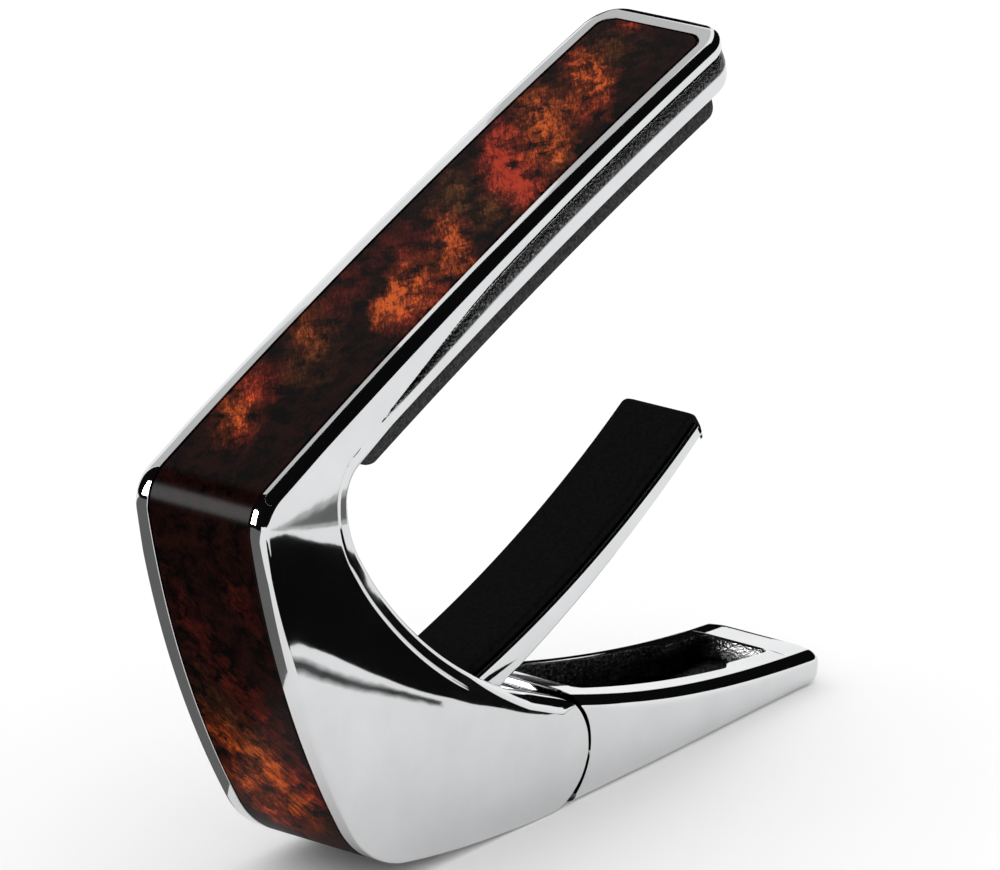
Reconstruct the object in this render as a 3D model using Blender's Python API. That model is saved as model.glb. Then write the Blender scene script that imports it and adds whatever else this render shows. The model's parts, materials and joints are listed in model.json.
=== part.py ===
"""Guitar capo with a squeeze lever, modelled as its separate pieces.

Units: the constants are in millimetres and degrees, the scene is in metres. +Z is up, +X runs
along the base from the spine to the lever's tip, and the width is along Y. The near side is -Y.
The origin is under the middle of the capo's outer box, on the plane that the capo stands on.

The body is one casting that reads like a 7: an arched upper arm over the strings, a spine that
leans back, and a lower housing with the mechanism. Both pivots run along Y. The squeeze lever
turns on LEVER_PIVOT and the swing arm, which holds the back of the neck, on ARM_PIVOT. A pin in
the lever's tail sits in a fork on the swing arm, so the two turn opposite ways.
"""

import math

import bmesh
import bpy

MM = 0.001

# Overall
WIDTH = 14.5
HALF = WIDTH / 2
EDGE_ROUND = 0.9
PIECE_GAP = 0.1

# Body outline, walked clockwise from under the lever pivot. Angles are in degrees.
END_RADIUS = 5.3
LEVER_PIVOT = (28.3, END_RADIUS)
BASE_RADIUS, BASE_TURN = 116.0, 10.0
HEEL_RADIUS, HEEL_TURN = 11.2, 49.0
SPINE_RADIUS, SPINE_TURN = 90.0, 20.0
CORNER_RADIUS, CORNER_TURN = 3.6, 75.0
ARM_RADIUS, ARM_TURN = 578.0, 6.68
TIP_NOSE = 1.2
TIP_NOSE_POINTS = ((0.8, 1.2), (2.9, 1.2), (3.8, 0.3))
TIP_UNDERCUT = 1.4
TIP_PLAN_RADIUS = 3.0

# Body inside line, from the round end up to the root of the arm
TOP_END_ANGLE = 68.0
MOUTH_RIM_LENGTH = 4.6
THROAT_RADIUS, THROAT_TURN = 53.0, 34.0
ROOT_RADIUS, ROOT_TURN = 10.0, 34.0
ARMPIT_RADIUS, ARMPIT_TURN = 3.2, 64.5

# Depths below the inlay surface, measured square to the arm
ARM_DEPTH = 4.6
SIDE_GROOVE = (1.5, 3.35)
SIDE_GROOVE_CUT = 0.7
GROOVE_FROM, GROOVE_TO = 13.0, 65.5
ARM_OVERRUN = 76.0

# Inlay
INLAY_WIDTH = 11.0
RECESS_WIDTH = INLAY_WIDTH + 0.2
RECESS_DEPTH = 1.5
ADHESIVE = 0.2
INLAY_TIP_MARGIN = 1.2
INLAY_CORNER_RADIUS = 1.6
INLAY_START_GAP = 0.15

# Fret pad and the rail that carries it
PAD_WIDTH = 13.6
PAD_THICKNESS = 2.0
RAIL_FLANGE_WIDTH, RAIL_FLANGE = 9.0, 0.9
RAIL_NECK_WIDTH = 7.4
RAIL_SOLE_WIDTH, RAIL_SOLE = 10.6, 0.6
CHANNEL_TOP = 2.6
CHANNEL_CLEARANCE = 0.2
PAD_FROM, PAD_TO = 10.5, 64.4

# Pocket for the mechanism
POCKET_HALF = 4.75
POCKET_FLOOR = 1.7
KNUCKLE_RADIUS = 5.0
KNUCKLE_ROOM = 0.4
POCKET_OUTLINE = ((36.0, -1.0), (LEVER_PIVOT[0], -1.0), (24.6, POCKET_FLOOR),
                  (13.2, POCKET_FLOOR + 0.2), (11.0, 4.6), (10.2, 11.0), (11.6, 14.6),
                  (15.6, 13.6), (17.0, 22.0), (36.0, 22.0))

# Pivots
ARM_PIVOT = (16.6, 8.2)
PIN_RADIUS = 1.25
HOLE_RADIUS = 1.36
PIN_NEAR_END, PIN_FAR_END = -6.2, 5.55
SCREW_RADIUS, SCREW_HOLE_RADIUS = 1.95, 2.1
SCREW_FROM, SCREW_TO = 5.7, 7.1
SOCKET_RADIUS, SOCKET_DEPTH = 0.9, 0.9
HUB_HALF = 4.05
WASHER_RADIUS, WASHER_FROM, WASHER_TO = 2.6, 4.2, 4.6

# Drive between lever and arm
DRIVE_REACH = 6.9
DRIVE_PIN_RADIUS = 1.0
DRIVE_PIN_HALF = 3.9
TAIL_HALF, TAIL_HEIGHT_HALF = 1.6, 1.75
FORK_REACH, FORK_HALF_HEIGHT, FORK_SLOT_HALF, FORK_SLOT_START = 6.3, 2.8, 1.28, 3.7

# Return spring and its sleeve
SLEEVE_RADIUS, SLEEVE_HALF = 1.85, 1.95
COIL_RADIUS, WIRE_RADIUS, COIL_TURNS, COIL_HALF = 2.62, 0.4, 3, 1.5
COIL_START_ANGLE, COIL_STEPS_PER_TURN = 96.0, 12
BACK_LEG, FRONT_LEG = (-4.7, -0.5), (4.6, 0.3)
SPRING_SPACE_HALF = 2.15
SPRING_SPACE_OUTLINE = ((11.0, 2.0), (25.0, 2.0), (23.6, 10.0), (21.4, 11.6), (18.0, 12.0),
                        (11.0, 14.5))

# Swing arm and neck pad
ARM_WIDTH = 8.5
ARM_HALF = ARM_WIDTH / 2
HUB_RADIUS = 3.9
BLADE_HEEL = ((ARM_PIVOT[0] - 1.6, ARM_PIVOT[1] + 3.5), (ARM_PIVOT[0] + 3.9, ARM_PIVOT[1] + 0.8),
              (24.2, 11.2))
CHEEK_OUTLINE = ((10.0, 2.0), (24.5, 2.0), (24.5, 8.5), (21.0, 13.0), (10.0, 13.0))
SWING_START = (21.6, 14.3)
SWING_ROOT_RUN = 1.2
SWING_SLOPE, SWING_BEND, SWING_RADIUS = 16.5, 16.6, 122.0
SWING_ROOT_THICKNESS, SWING_TIP_THICKNESS = 3.2, 1.4
NECK_PAD_THICKNESS = 1.0
PAD_KEY_DEPTH = 0.8
PAD_ADHESIVE = 0.15
KEY_MARGIN = 1.1
LIP_DROP = 2.2
LIP_REACH = 0.75
PAD_CORNER_RADIUS = 1.2

# Squeeze lever
SEAM_GAP = 0.35
LEVER_NOSE_X = 68.4
NOSE_LOW_RADIUS, NOSE_LOW_TURN = 1.9, 84.0
NOSE_TOP_RADIUS, NOSE_TOP_TURN = 1.5, 92.0
RIM_RADIUS, RIM_TURN = 165.0, 13.0
LEVER_TIP_HALF = 6.7
TAPER_FROM, TAPER_TO = 40.0, 67.0
LEVER_PLAN_RADIUS = 1.6
SEAM_LIP = 0.7
TROUGH_FLOOR = 1.5
TROUGH_FROM, TROUGH_TO = 34.6, 65.4
TROUGH_HALF, TROUGH_TIP_HALF = 4.6, 3.6
TROUGH_NARROWS_AT, TROUGH_STEP = 57.5, 1.6
KNUCKLE_WEB_OUTLINE = ((LEVER_PIVOT[0], 0.4), (TROUGH_FROM + 1.2, 0.4), (TROUGH_FROM + 1.2, 4.6),
                       (TROUGH_FROM - 0.6, 7.4), (LEVER_PIVOT[0] + 1.0, 9.2))

ROUND_SIDES = 28

CHROME = ("chrome", (0.78, 0.79, 0.80), 0.06, 1.0)
STEEL = ("steel", (0.55, 0.56, 0.58), 0.28, 1.0)
WOOD = ("inlay_wood", (0.16, 0.035, 0.012), 0.15, 0.0)
FILM = ("adhesive", (0.62, 0.60, 0.52), 0.5, 0.0)
RUBBER = ("rubber", (0.018, 0.018, 0.019), 0.65, 0.0)
FRET_RUBBER = ("fret_rubber", (0.045, 0.045, 0.048), 0.6, 0.0)
PLASTIC = ("plastic", (0.03, 0.03, 0.032), 0.45, 0.0)
NYLON = ("nylon", (0.80, 0.79, 0.74), 0.45, 0.0)


class Walk:
    """A smooth outline in the XZ plane, walked as lines and arcs from a point and a heading."""

    def __init__(self, point, heading):
        self.points = [point]
        self.angles = [math.radians(heading)]

    def line(self, length, steps=1):
        """Go straight on."""
        x, z = self.points[-1]
        angle = self.angles[-1]
        for i in range(1, steps + 1):
            part = length * i / steps
            self.points.append((x + part * math.cos(angle), z + part * math.sin(angle)))
            self.angles.append(angle)
        return self

    def arc(self, radius, turn, steps):
        """Follow an arc: a positive turn bends left, a negative one right."""
        side = 1 if turn > 0 else -1
        x, z = self.points[-1]
        start = self.angles[-1]
        centre = (x - side * radius * math.sin(start), z + side * radius * math.cos(start))
        for i in range(1, steps + 1):
            heading = start + math.radians(turn) * i / steps
            self.points.append((centre[0] + side * radius * math.sin(heading),
                                centre[1] - side * radius * math.cos(heading)))
            self.angles.append(heading)
        return self

    def beside(self, distance, first=0):
        """The points moved square to the walk, to its right for a positive distance."""
        return [(x + distance * math.sin(angle), z - distance * math.cos(angle))
                for (x, z), angle in zip(self.points[first:], self.angles[first:])]

    def trimmed(self, length, first=0):
        """The walk from one of its points on, with that point moved on by a length."""
        (x, z), angle = self.points[first], self.angles[first]
        rest = Walk((x + length * math.cos(angle), z + length * math.sin(angle)), 0.0)
        rest.points += self.points[first + 1:]
        rest.angles = self.angles[first:]
        return rest


def outer_walk():
    """The inlay surface: base, heel, spine, corner and arched arm, clockwise to the arm's tip."""
    walk = Walk((LEVER_PIVOT[0], 0.0), 180.0)
    walk.arc(BASE_RADIUS, -BASE_TURN, 6)
    walk.arc(HEEL_RADIUS, -HEEL_TURN, 8)
    walk.arc(SPINE_RADIUS, -SPINE_TURN, 8)
    walk.arc(CORNER_RADIUS, -CORNER_TURN, 10)
    walk.arc(ARM_RADIUS, -ARM_TURN, 14)
    return walk


def inner_walk():
    """The body's inside line, from the top of its round end to the root of the arm."""
    angle = math.radians(TOP_END_ANGLE)
    start = (LEVER_PIVOT[0] + END_RADIUS * math.cos(angle),
             LEVER_PIVOT[1] + END_RADIUS * math.sin(angle))
    walk = Walk(start, TOP_END_ANGLE + 90.0)
    walk.line(MOUTH_RIM_LENGTH)
    walk.arc(THROAT_RADIUS, -THROAT_TURN, 10)
    walk.arc(ROOT_RADIUS, -ROOT_TURN, 5)
    walk.arc(ARMPIT_RADIUS, -ARMPIT_TURN, 6)
    return walk


BASE_STEPS, ARM_FIRST = 6, 32
OUTER = outer_walk()
INNER = inner_walk()
ARM_LENGTH = ARM_RADIUS * math.radians(ARM_TURN)

LEVER_LENGTH_END = LEVER_NOSE_X + NOSE_LOW_RADIUS
ORIGIN_X = (min(x for x, _ in OUTER.points) + LEVER_LENGTH_END) / 2


def place(x, y, z):
    """A point of the drawing, in metres from the origin."""
    return ((x - ORIGIN_X) * MM, y * MM, z * MM)


def clear_scene():
    """Start from an empty scene."""
    for old in list(bpy.data.objects):
        bpy.data.objects.remove(old, do_unlink=True)


def make_material(look):
    """A plain Principled material for one kind of finish."""
    name, colour, roughness, metallic = look
    found = bpy.data.materials.get(name)
    if found:
        return found
    material = bpy.data.materials.new(name)
    material.use_nodes = True
    shader = material.node_tree.nodes["Principled BSDF"]
    shader.inputs["Base Color"].default_value = (*colour, 1.0)
    shader.inputs["Roughness"].default_value = roughness
    shader.inputs["Metallic"].default_value = metallic
    material.diffuse_color = (*colour, 1.0)
    return material


def finish_mesh(name, build, look=None):
    """Turn a bmesh into a named object. Without a look it is a hidden cutter."""
    bmesh.ops.recalc_face_normals(build, faces=build.faces)
    mesh = bpy.data.meshes.new(name)
    build.to_mesh(mesh)
    build.free()
    item = bpy.data.objects.new(name, mesh)
    bpy.context.scene.collection.objects.link(item)
    if look:
        mesh.materials.append(make_material(look))
    else:
        item.hide_render = True
        item.display_type = "WIRE"
    return item


def sections(rings):
    """A closed solid through rings of equally many points."""
    build = bmesh.new()
    made = [[build.verts.new(place(*point)) for point in ring] for ring in rings]
    count = len(made[0])
    for near, far in zip(made, made[1:]):
        for i in range(count):
            j = (i + 1) % count
            build.faces.new((near[i], near[j], far[j], far[i]))
    build.faces.new(made[0][::-1])
    build.faces.new(made[-1])
    return build


def plate(name, outline, y_low, y_high, look=None, edge_round=0.0):
    """An XZ outline extruded along Y, with its long edges rounded if asked."""
    build = sections([[(x, y, z) for x, z in outline] for y in (y_low, y_high)])
    if edge_round:
        bmesh.ops.recalc_face_normals(build, faces=build.faces)
        rims = [edge for edge in build.edges
                if abs(edge.verts[0].co.y - edge.verts[1].co.y) < 1e-7]
        bmesh.ops.bevel(build, geom=rims, offset=edge_round * MM, segments=2,
                        affect="EDGES", profile=0.5)
    return finish_mesh(name, build, look)


def swept(name, walk, section, look=None):
    """A section of (y, depth) points carried along a walk."""
    rings = []
    for (x, z), angle in zip(walk.points, walk.angles):
        rings.append([(x + depth * math.sin(angle), y, z - depth * math.cos(angle))
                      for y, depth in section])
    return finish_mesh(name, sections(rings), look)


def box_section(half_width, top, bottom):
    return [(-half_width, top), (half_width, top), (half_width, bottom), (-half_width, bottom)]


def circle(centre, radius, sides=ROUND_SIDES):
    return [(centre[0] + radius * math.cos(2 * math.pi * i / sides),
             centre[1] + radius * math.sin(2 * math.pi * i / sides)) for i in range(sides)]


def round_bar(name, centre, radius, y_low, y_high, look=None, sides=ROUND_SIDES):
    """A cylinder along Y."""
    return plate(name, circle(centre, radius, sides), y_low, y_high, look)


def combine(target, tool, operation):
    """A Boolean that stays on the target as a modifier."""
    tool.hide_render = True
    tool.display_type = "WIRE"
    modifier = target.modifiers.new(tool.name, "BOOLEAN")
    modifier.operation = operation
    modifier.solver = "EXACT"
    modifier.object = tool


def cut(target, tool):
    combine(target, tool, "DIFFERENCE")


def join(target, tool):
    combine(target, tool, "UNION")


def toward(start, end, distance):
    """The point at a distance from start on the way to end."""
    length = math.dist(start, end)
    return tuple(a + (b - a) * distance / length for a, b in zip(start, end))


def turned_rectangle(start, end, first, last, half_height):
    """A rectangle along the line from start to end, between two distances from start."""
    a, b = toward(start, end, first), toward(start, end, last)
    length = math.dist(start, end)
    across = (-(end[1] - start[1]) / length * half_height, (end[0] - start[0]) / length * half_height)
    return [(a[0] - across[0], a[1] - across[1]), (b[0] - across[0], b[1] - across[1]),
            (b[0] + across[0], b[1] + across[1]), (a[0] + across[0], a[1] + across[1])]


def arm_walk(start_distance, end_distance):
    """The arm's part of the outer walk between two distances from the corner."""
    lead = math.degrees(start_distance / ARM_RADIUS)
    turn = math.degrees((end_distance - start_distance) / ARM_RADIUS)
    walk = Walk(OUTER.points[ARM_FIRST], math.degrees(OUTER.angles[ARM_FIRST]))
    walk.arc(ARM_RADIUS, -lead, 1)
    return walk.trimmed(0.0, 1).arc(ARM_RADIUS, -turn, 14)


def plan_corner(name, end, angle, side, half_width, radius):
    """A cutter that rounds one plan corner of a bar whose tip is at end and points along angle."""
    along, up = (math.cos(angle), math.sin(angle)), (-math.sin(angle), math.cos(angle))
    flat = [(2.0, half_width - radius), (2.0, half_width + 2.0), (-radius, half_width + 2.0)]
    steps = 6
    for i in range(steps + 1):
        turn = math.pi / 2 * (1 - i / steps)
        flat.append((radius * (math.cos(turn) - 1.0), half_width + radius * (math.sin(turn) - 1.0)))
    rings = []
    for rise in (-10.0, 4.0):
        rings.append([(end[0] + along[0] * forward + up[0] * rise, side * y,
                       end[1] + along[1] * forward + up[1] * rise) for forward, y in flat])
    return finish_mesh(name, sections(rings))


def round_tip(target, walk, reach, half_width, radius):
    """Round both plan corners of a bar that ends a reach beyond its walk."""
    (x, z), angle = walk.points[-1], walk.angles[-1]
    end = (x + reach * math.cos(angle), z + reach * math.sin(angle))
    for side in (-1, 1):
        name = f"{target.name}_corner_cutter_{side}"
        cut(target, plan_corner(name, end, angle, side, half_width, radius))


def body_outline():
    """The casting seen from the side."""
    outer = OUTER.points
    underside = OUTER.beside(ARM_DEPTH, ARM_FIRST + 3)
    tip_top, tip_low = outer[-1], underside[-1]
    underside[-1] = toward(underside[-1], underside[-2], TIP_UNDERCUT)
    along = (math.cos(OUTER.angles[-1]), math.sin(OUTER.angles[-1]))
    nose = []
    for depth, forward in TIP_NOSE_POINTS:
        x, z = toward(tip_top, tip_low, depth)
        nose.append((x + along[0] * forward, z + along[1] * forward))
    end = Walk((LEVER_PIVOT[0], 0.0), 0.0).arc(END_RADIUS, TOP_END_ANGLE + 90.0, 14)
    return outer[:0:-1] + end.points[:-1] + INNER.points + underside + nose[::-1]


def make_body():
    """The casting: inlay recess, side grooves, pad channel, rounded tip and mechanism pocket."""
    body = plate("body_frame", body_outline(), -HALF, HALF, CHROME, EDGE_ROUND)
    recess_walk = inlay_path(ARM_LENGTH - INLAY_TIP_MARGIN + PIECE_GAP)
    recess = swept("recess_cutter", recess_walk, box_section(RECESS_WIDTH / 2, -2.0, RECESS_DEPTH))
    round_tip(recess, recess_walk, 0.0, RECESS_WIDTH / 2, INLAY_CORNER_RADIUS)
    cut(body, recess)
    for side in (-1, 1):
        outside, inside = side * (HALF + 1.0), side * (HALF - SIDE_GROOVE_CUT)
        section = [(outside, SIDE_GROOVE[0]), (inside, SIDE_GROOVE[0] + 0.5),
                   (inside, SIDE_GROOVE[1] - 0.4), (outside, SIDE_GROOVE[1])]
        groove = arm_walk(GROOVE_FROM, GROOVE_TO)
        cut(body, swept(f"groove_cutter_{side}", groove, section))
    channel = arm_walk(PAD_FROM, ARM_OVERRUN)
    wide = RAIL_FLANGE_WIDTH / 2 + CHANNEL_CLEARANCE
    narrow = RAIL_NECK_WIDTH / 2 + CHANNEL_CLEARANCE
    flange_low = CHANNEL_TOP + RAIL_FLANGE + 2 * CHANNEL_CLEARANCE
    cut(body, swept("channel_cutter", channel,
                    [(-wide, CHANNEL_TOP), (wide, CHANNEL_TOP), (wide, flange_low),
                     (narrow, flange_low), (narrow, ARM_DEPTH + 1.0), (-narrow, ARM_DEPTH + 1.0),
                     (-narrow, flange_low), (-wide, flange_low)]))
    round_tip(body, OUTER, TIP_NOSE, HALF, TIP_PLAN_RADIUS)
    make_pocket(body)


def make_pocket(body):
    """The cavity between the housing's walls, open at the top and towards the lever."""
    cut(body, plate("pocket_cutter", POCKET_OUTLINE, -POCKET_HALF, POCKET_HALF))
    cut(body, round_bar("knuckle_room_cutter", LEVER_PIVOT, KNUCKLE_RADIUS + KNUCKLE_ROOM,
                        -POCKET_HALF, POCKET_HALF, sides=48))
    for label, pivot in (("lever", LEVER_PIVOT), ("arm", ARM_PIVOT)):
        cut(body, round_bar(f"{label}_pin_hole_cutter", pivot, HOLE_RADIUS,
                            PIN_NEAR_END - PIECE_GAP, PIN_FAR_END + 1.0))
        cut(body, round_bar(f"{label}_screw_hole_cutter", pivot, SCREW_HOLE_RADIUS,
                            PIN_FAR_END + 0.05, HALF + 1.0))


def inlay_path(end_distance):
    """The inlay's route: from the base, round the heel, up the spine and along the arm."""
    first = BASE_STEPS - 2
    walk = Walk(OUTER.points[first], math.degrees(OUTER.angles[first]))
    walk.arc(BASE_RADIUS, -BASE_TURN * 2 / BASE_STEPS, 2)
    walk.arc(HEEL_RADIUS, -HEEL_TURN, 8)
    walk.arc(SPINE_RADIUS, -SPINE_TURN, 8)
    walk.arc(CORNER_RADIUS, -CORNER_TURN, 10)
    walk.arc(ARM_RADIUS, -math.degrees(end_distance / ARM_RADIUS), 14)
    return walk


def make_inlay():
    """The wood strip flush with the casting's rims, and the film that bonds it."""
    walk = inlay_path(ARM_LENGTH - INLAY_TIP_MARGIN - PIECE_GAP).trimmed(INLAY_START_GAP)
    film_top = RECESS_DEPTH - PIECE_GAP - ADHESIVE
    for name, half_width, top, bottom, look in (
            ("inlay_strip", INLAY_WIDTH / 2, 0.0, film_top - PIECE_GAP, WOOD),
            ("inlay_adhesive", INLAY_WIDTH / 2 - 0.3, film_top, RECESS_DEPTH - PIECE_GAP, FILM)):
        piece = swept(name, walk, box_section(half_width, top, bottom), look)
        round_tip(piece, walk, 0.0, half_width, INLAY_CORNER_RADIUS)


def make_fret_pad():
    """The rubber pad under the arm and the rail that slides in the arm's channel."""
    rail = arm_walk(PAD_FROM + 0.4, PAD_TO - 0.4)
    top = CHANNEL_TOP + CHANNEL_CLEARANCE
    low = top + RAIL_FLANGE
    sole_top = ARM_DEPTH + 2 * PIECE_GAP
    sole_low = sole_top + RAIL_SOLE
    section = [(-RAIL_FLANGE_WIDTH / 2, top), (RAIL_FLANGE_WIDTH / 2, top),
               (RAIL_FLANGE_WIDTH / 2, low), (RAIL_NECK_WIDTH / 2, low),
               (RAIL_NECK_WIDTH / 2, sole_top), (RAIL_SOLE_WIDTH / 2, sole_top),
               (RAIL_SOLE_WIDTH / 2, sole_low), (-RAIL_SOLE_WIDTH / 2, sole_low),
               (-RAIL_SOLE_WIDTH / 2, sole_top), (-RAIL_NECK_WIDTH / 2, sole_top),
               (-RAIL_NECK_WIDTH / 2, low), (-RAIL_FLANGE_WIDTH / 2, low)]
    swept("fret_pad_carrier", rail, section, PLASTIC)
    pad = arm_walk(PAD_FROM, PAD_TO)
    room = RAIL_SOLE_WIDTH / 2 + PIECE_GAP
    floor = sole_low + PIECE_GAP
    pad_low = ARM_DEPTH + PAD_THICKNESS
    section = [(-PAD_WIDTH / 2, sole_top), (-room, sole_top), (-room, floor), (room, floor),
               (room, sole_top), (PAD_WIDTH / 2, sole_top), (PAD_WIDTH / 2, pad_low - 0.5),
               (PAD_WIDTH / 2 - 0.5, pad_low), (-PAD_WIDTH / 2 + 0.5, pad_low),
               (-PAD_WIDTH / 2, pad_low - 0.5)]
    swept("fret_pad", pad, section, FRET_RUBBER)


def make_pins():
    """Each pivot's pin, the screw over its end and the washers beside its hub."""
    for label, pivot in (("lever", LEVER_PIVOT), ("arm", ARM_PIVOT)):
        round_bar(f"{label}_pin", pivot, PIN_RADIUS, PIN_NEAR_END, PIN_FAR_END, STEEL)
        screw = round_bar(f"{label}_pin_screw", pivot, SCREW_RADIUS, SCREW_FROM, SCREW_TO, STEEL)
        cut(screw, round_bar(f"{label}_socket_cutter", pivot, SOCKET_RADIUS,
                             SCREW_TO - SOCKET_DEPTH, SCREW_TO + 1.0, sides=6))
        for side_name, side in (("near", -1), ("far", 1)):
            low, high = sorted((side * WASHER_FROM, side * WASHER_TO))
            washer = round_bar(f"{label}_washer_{side_name}", pivot, WASHER_RADIUS, low, high, NYLON)
            cut(washer, round_bar(f"{label}_washer_{side_name}_cutter", pivot, HOLE_RADIUS,
                                  low - 1.0, high + 1.0))


def make_spring():
    """A torsion spring on a sleeve, one leg on the housing's back wall, one under the arm."""
    sleeve = round_bar("spring_sleeve", ARM_PIVOT, SLEEVE_RADIUS, -SLEEVE_HALF, SLEEVE_HALF, NYLON)
    cut(sleeve, round_bar("sleeve_bore_cutter", ARM_PIVOT, HOLE_RADIUS, -3.0, 3.0))
    steps = COIL_TURNS * COIL_STEPS_PER_TURN
    coil = []
    for i in range(steps + 1):
        angle = math.radians(COIL_START_ANGLE - 360.0 * COIL_TURNS * i / steps)
        coil.append((ARM_PIVOT[0] + COIL_RADIUS * math.cos(angle),
                     -COIL_HALF + 2 * COIL_HALF * i / steps,
                     ARM_PIVOT[1] + COIL_RADIUS * math.sin(angle)))
    first, last = coil[0], coil[-1]
    back_leg = (first[0] + BACK_LEG[0], first[1], first[2] + BACK_LEG[1])
    front_leg = (last[0] + FRONT_LEG[0], last[1], last[2] + FRONT_LEG[1])
    route = [back_leg] + coil + [front_leg]
    curve = bpy.data.curves.new("return_spring", "CURVE")
    curve.dimensions = "3D"
    curve.bevel_depth = WIRE_RADIUS * MM
    curve.bevel_resolution = 1
    curve.use_fill_caps = True
    spline = curve.splines.new("POLY")
    spline.points.add(len(route) - 1)
    for point, spot in zip(spline.points, route):
        point.co = (*place(*spot), 1.0)
    curve.materials.append(make_material(STEEL))
    spring = bpy.data.objects.new("return_spring", curve)
    bpy.context.scene.collection.objects.link(spring)


def swing_walk():
    """The top of the swing arm's casting, from its root to its tip."""
    slope = math.radians(SWING_SLOPE)
    root = (SWING_START[0] - SWING_ROOT_RUN * math.cos(slope),
            SWING_START[1] - SWING_ROOT_RUN * math.sin(slope))
    walk = Walk(root, SWING_SLOPE).line(SWING_ROOT_RUN)
    return walk.arc(SWING_RADIUS, SWING_BEND, 12)


def make_swing_arm():
    """The arm's hub and fork, its tapering blade, and the pad bonded on the blade."""
    walk = swing_walk()
    count = len(walk.points)
    underside = []
    for i, ((x, z), angle) in enumerate(zip(walk.points, walk.angles)):
        share = i / (count - 1)
        depth = SWING_ROOT_THICKNESS + (SWING_TIP_THICKNESS - SWING_ROOT_THICKNESS) * share ** 0.7
        underside.append((x + depth * math.sin(angle), z - depth * math.cos(angle)))
    outline = list(BLADE_HEEL) + underside[2:] + walk.points[::-1]
    arm = plate("swing_arm", outline, -ARM_HALF, ARM_HALF, CHROME)
    join(arm, round_bar("arm_hub_tool", ARM_PIVOT, HUB_RADIUS, -ARM_HALF, ARM_HALF))
    fork = turned_rectangle(ARM_PIVOT, LEVER_PIVOT, 0.0, FORK_REACH, FORK_HALF_HEIGHT)
    join(arm, plate("arm_fork_tool", fork, -ARM_HALF, ARM_HALF))
    slot = turned_rectangle(ARM_PIVOT, LEVER_PIVOT, FORK_SLOT_START, FORK_REACH + 2.0, FORK_SLOT_HALF)
    cut(arm, plate("fork_slot_cutter", slot, -ARM_HALF - 1.0, ARM_HALF + 1.0))
    cut(arm, plate("spring_space_cutter", SPRING_SPACE_OUTLINE, -SPRING_SPACE_HALF, SPRING_SPACE_HALF))
    for side in (-1, 1):
        low, high = sorted((side * HUB_HALF, side * (ARM_HALF + 1.0)))
        cut(arm, plate(f"cheek_cutter_{side}", CHEEK_OUTLINE, low, high))
    cut(arm, round_bar("arm_bore_cutter", ARM_PIVOT, HOLE_RADIUS, -6.0, 6.0))
    key_half = ARM_HALF - KEY_MARGIN
    cut(arm, swept("pad_key_cutter", walk.trimmed(0.0, 1), box_section(key_half, -1.0, PAD_KEY_DEPTH)))
    make_neck_pad(walk, key_half)


def make_neck_pad(walk, key_half):
    """The rubber pad: a face over the blade, a key in the blade and a lip over the tip."""
    top = -NECK_PAD_THICKNESS - PIECE_GAP
    pad = swept("neck_pad", walk,
                [(-ARM_HALF, -PIECE_GAP), (-ARM_HALF, top + 0.3), (-ARM_HALF + 0.4, top),
                 (ARM_HALF - 0.4, top), (ARM_HALF, top + 0.3), (ARM_HALF, -PIECE_GAP)], RUBBER)
    key_walk = walk.trimmed(PIECE_GAP, 1)
    key = key_half - PIECE_GAP
    film_top = PAD_KEY_DEPTH - PAD_ADHESIVE - PIECE_GAP
    join(pad, swept("pad_key_tool", key_walk, box_section(key, -0.5, film_top - PIECE_GAP)))
    swept("neck_pad_adhesive", key_walk, box_section(key, film_top, PAD_KEY_DEPTH - PIECE_GAP), FILM)
    (x, z), angle = walk.points[-1], walk.angles[-1]
    lip = [(x + forward * math.cos(angle) + drop * math.sin(angle),
            z + forward * math.sin(angle) - drop * math.cos(angle))
           for forward, drop in ((-0.4, top), (LIP_REACH / 3, top), (LIP_REACH * 0.7, top + 0.6),
                                 (LIP_REACH, 1.0), (LIP_REACH / 2, LIP_DROP),
                                 (PIECE_GAP, LIP_DROP - 0.4), (PIECE_GAP, -PIECE_GAP),
                                 (-0.4, -PIECE_GAP))]
    join(pad, plate("pad_lip_tool", lip, -ARM_HALF, ARM_HALF))
    round_tip(pad, walk, LIP_REACH, ARM_HALF, PAD_CORNER_RADIUS)


def lever_outline():
    """The lever seen from the side: flat below, a nose, a falling rim and the hollow seam."""
    seam = END_RADIUS + SEAM_GAP
    walk = Walk((LEVER_NOSE_X, 0.0), 0.0)
    walk.arc(NOSE_LOW_RADIUS, NOSE_LOW_TURN, 5)
    walk.arc(NOSE_TOP_RADIUS, NOSE_TOP_TURN, 5)
    walk.arc(RIM_RADIUS, -RIM_TURN, 12)
    low_angle = math.asin((SEAM_LIP - END_RADIUS) / seam)
    top_x, top_z = walk.points[-1]
    high_angle = math.atan2(top_z - LEVER_PIVOT[1] - SEAM_LIP, top_x - LEVER_PIVOT[0] + SEAM_LIP / 3)
    steps = 12
    hollow = []
    for i in range(steps + 1):
        angle = high_angle + (low_angle - high_angle) * i / steps
        hollow.append((LEVER_PIVOT[0] + seam * math.cos(angle),
                       LEVER_PIVOT[1] + seam * math.sin(angle)))
    low_lip = (hollow[-1][0] + SEAM_LIP / 3, 0.0)
    return walk.points + hollow + [low_lip]


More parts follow.
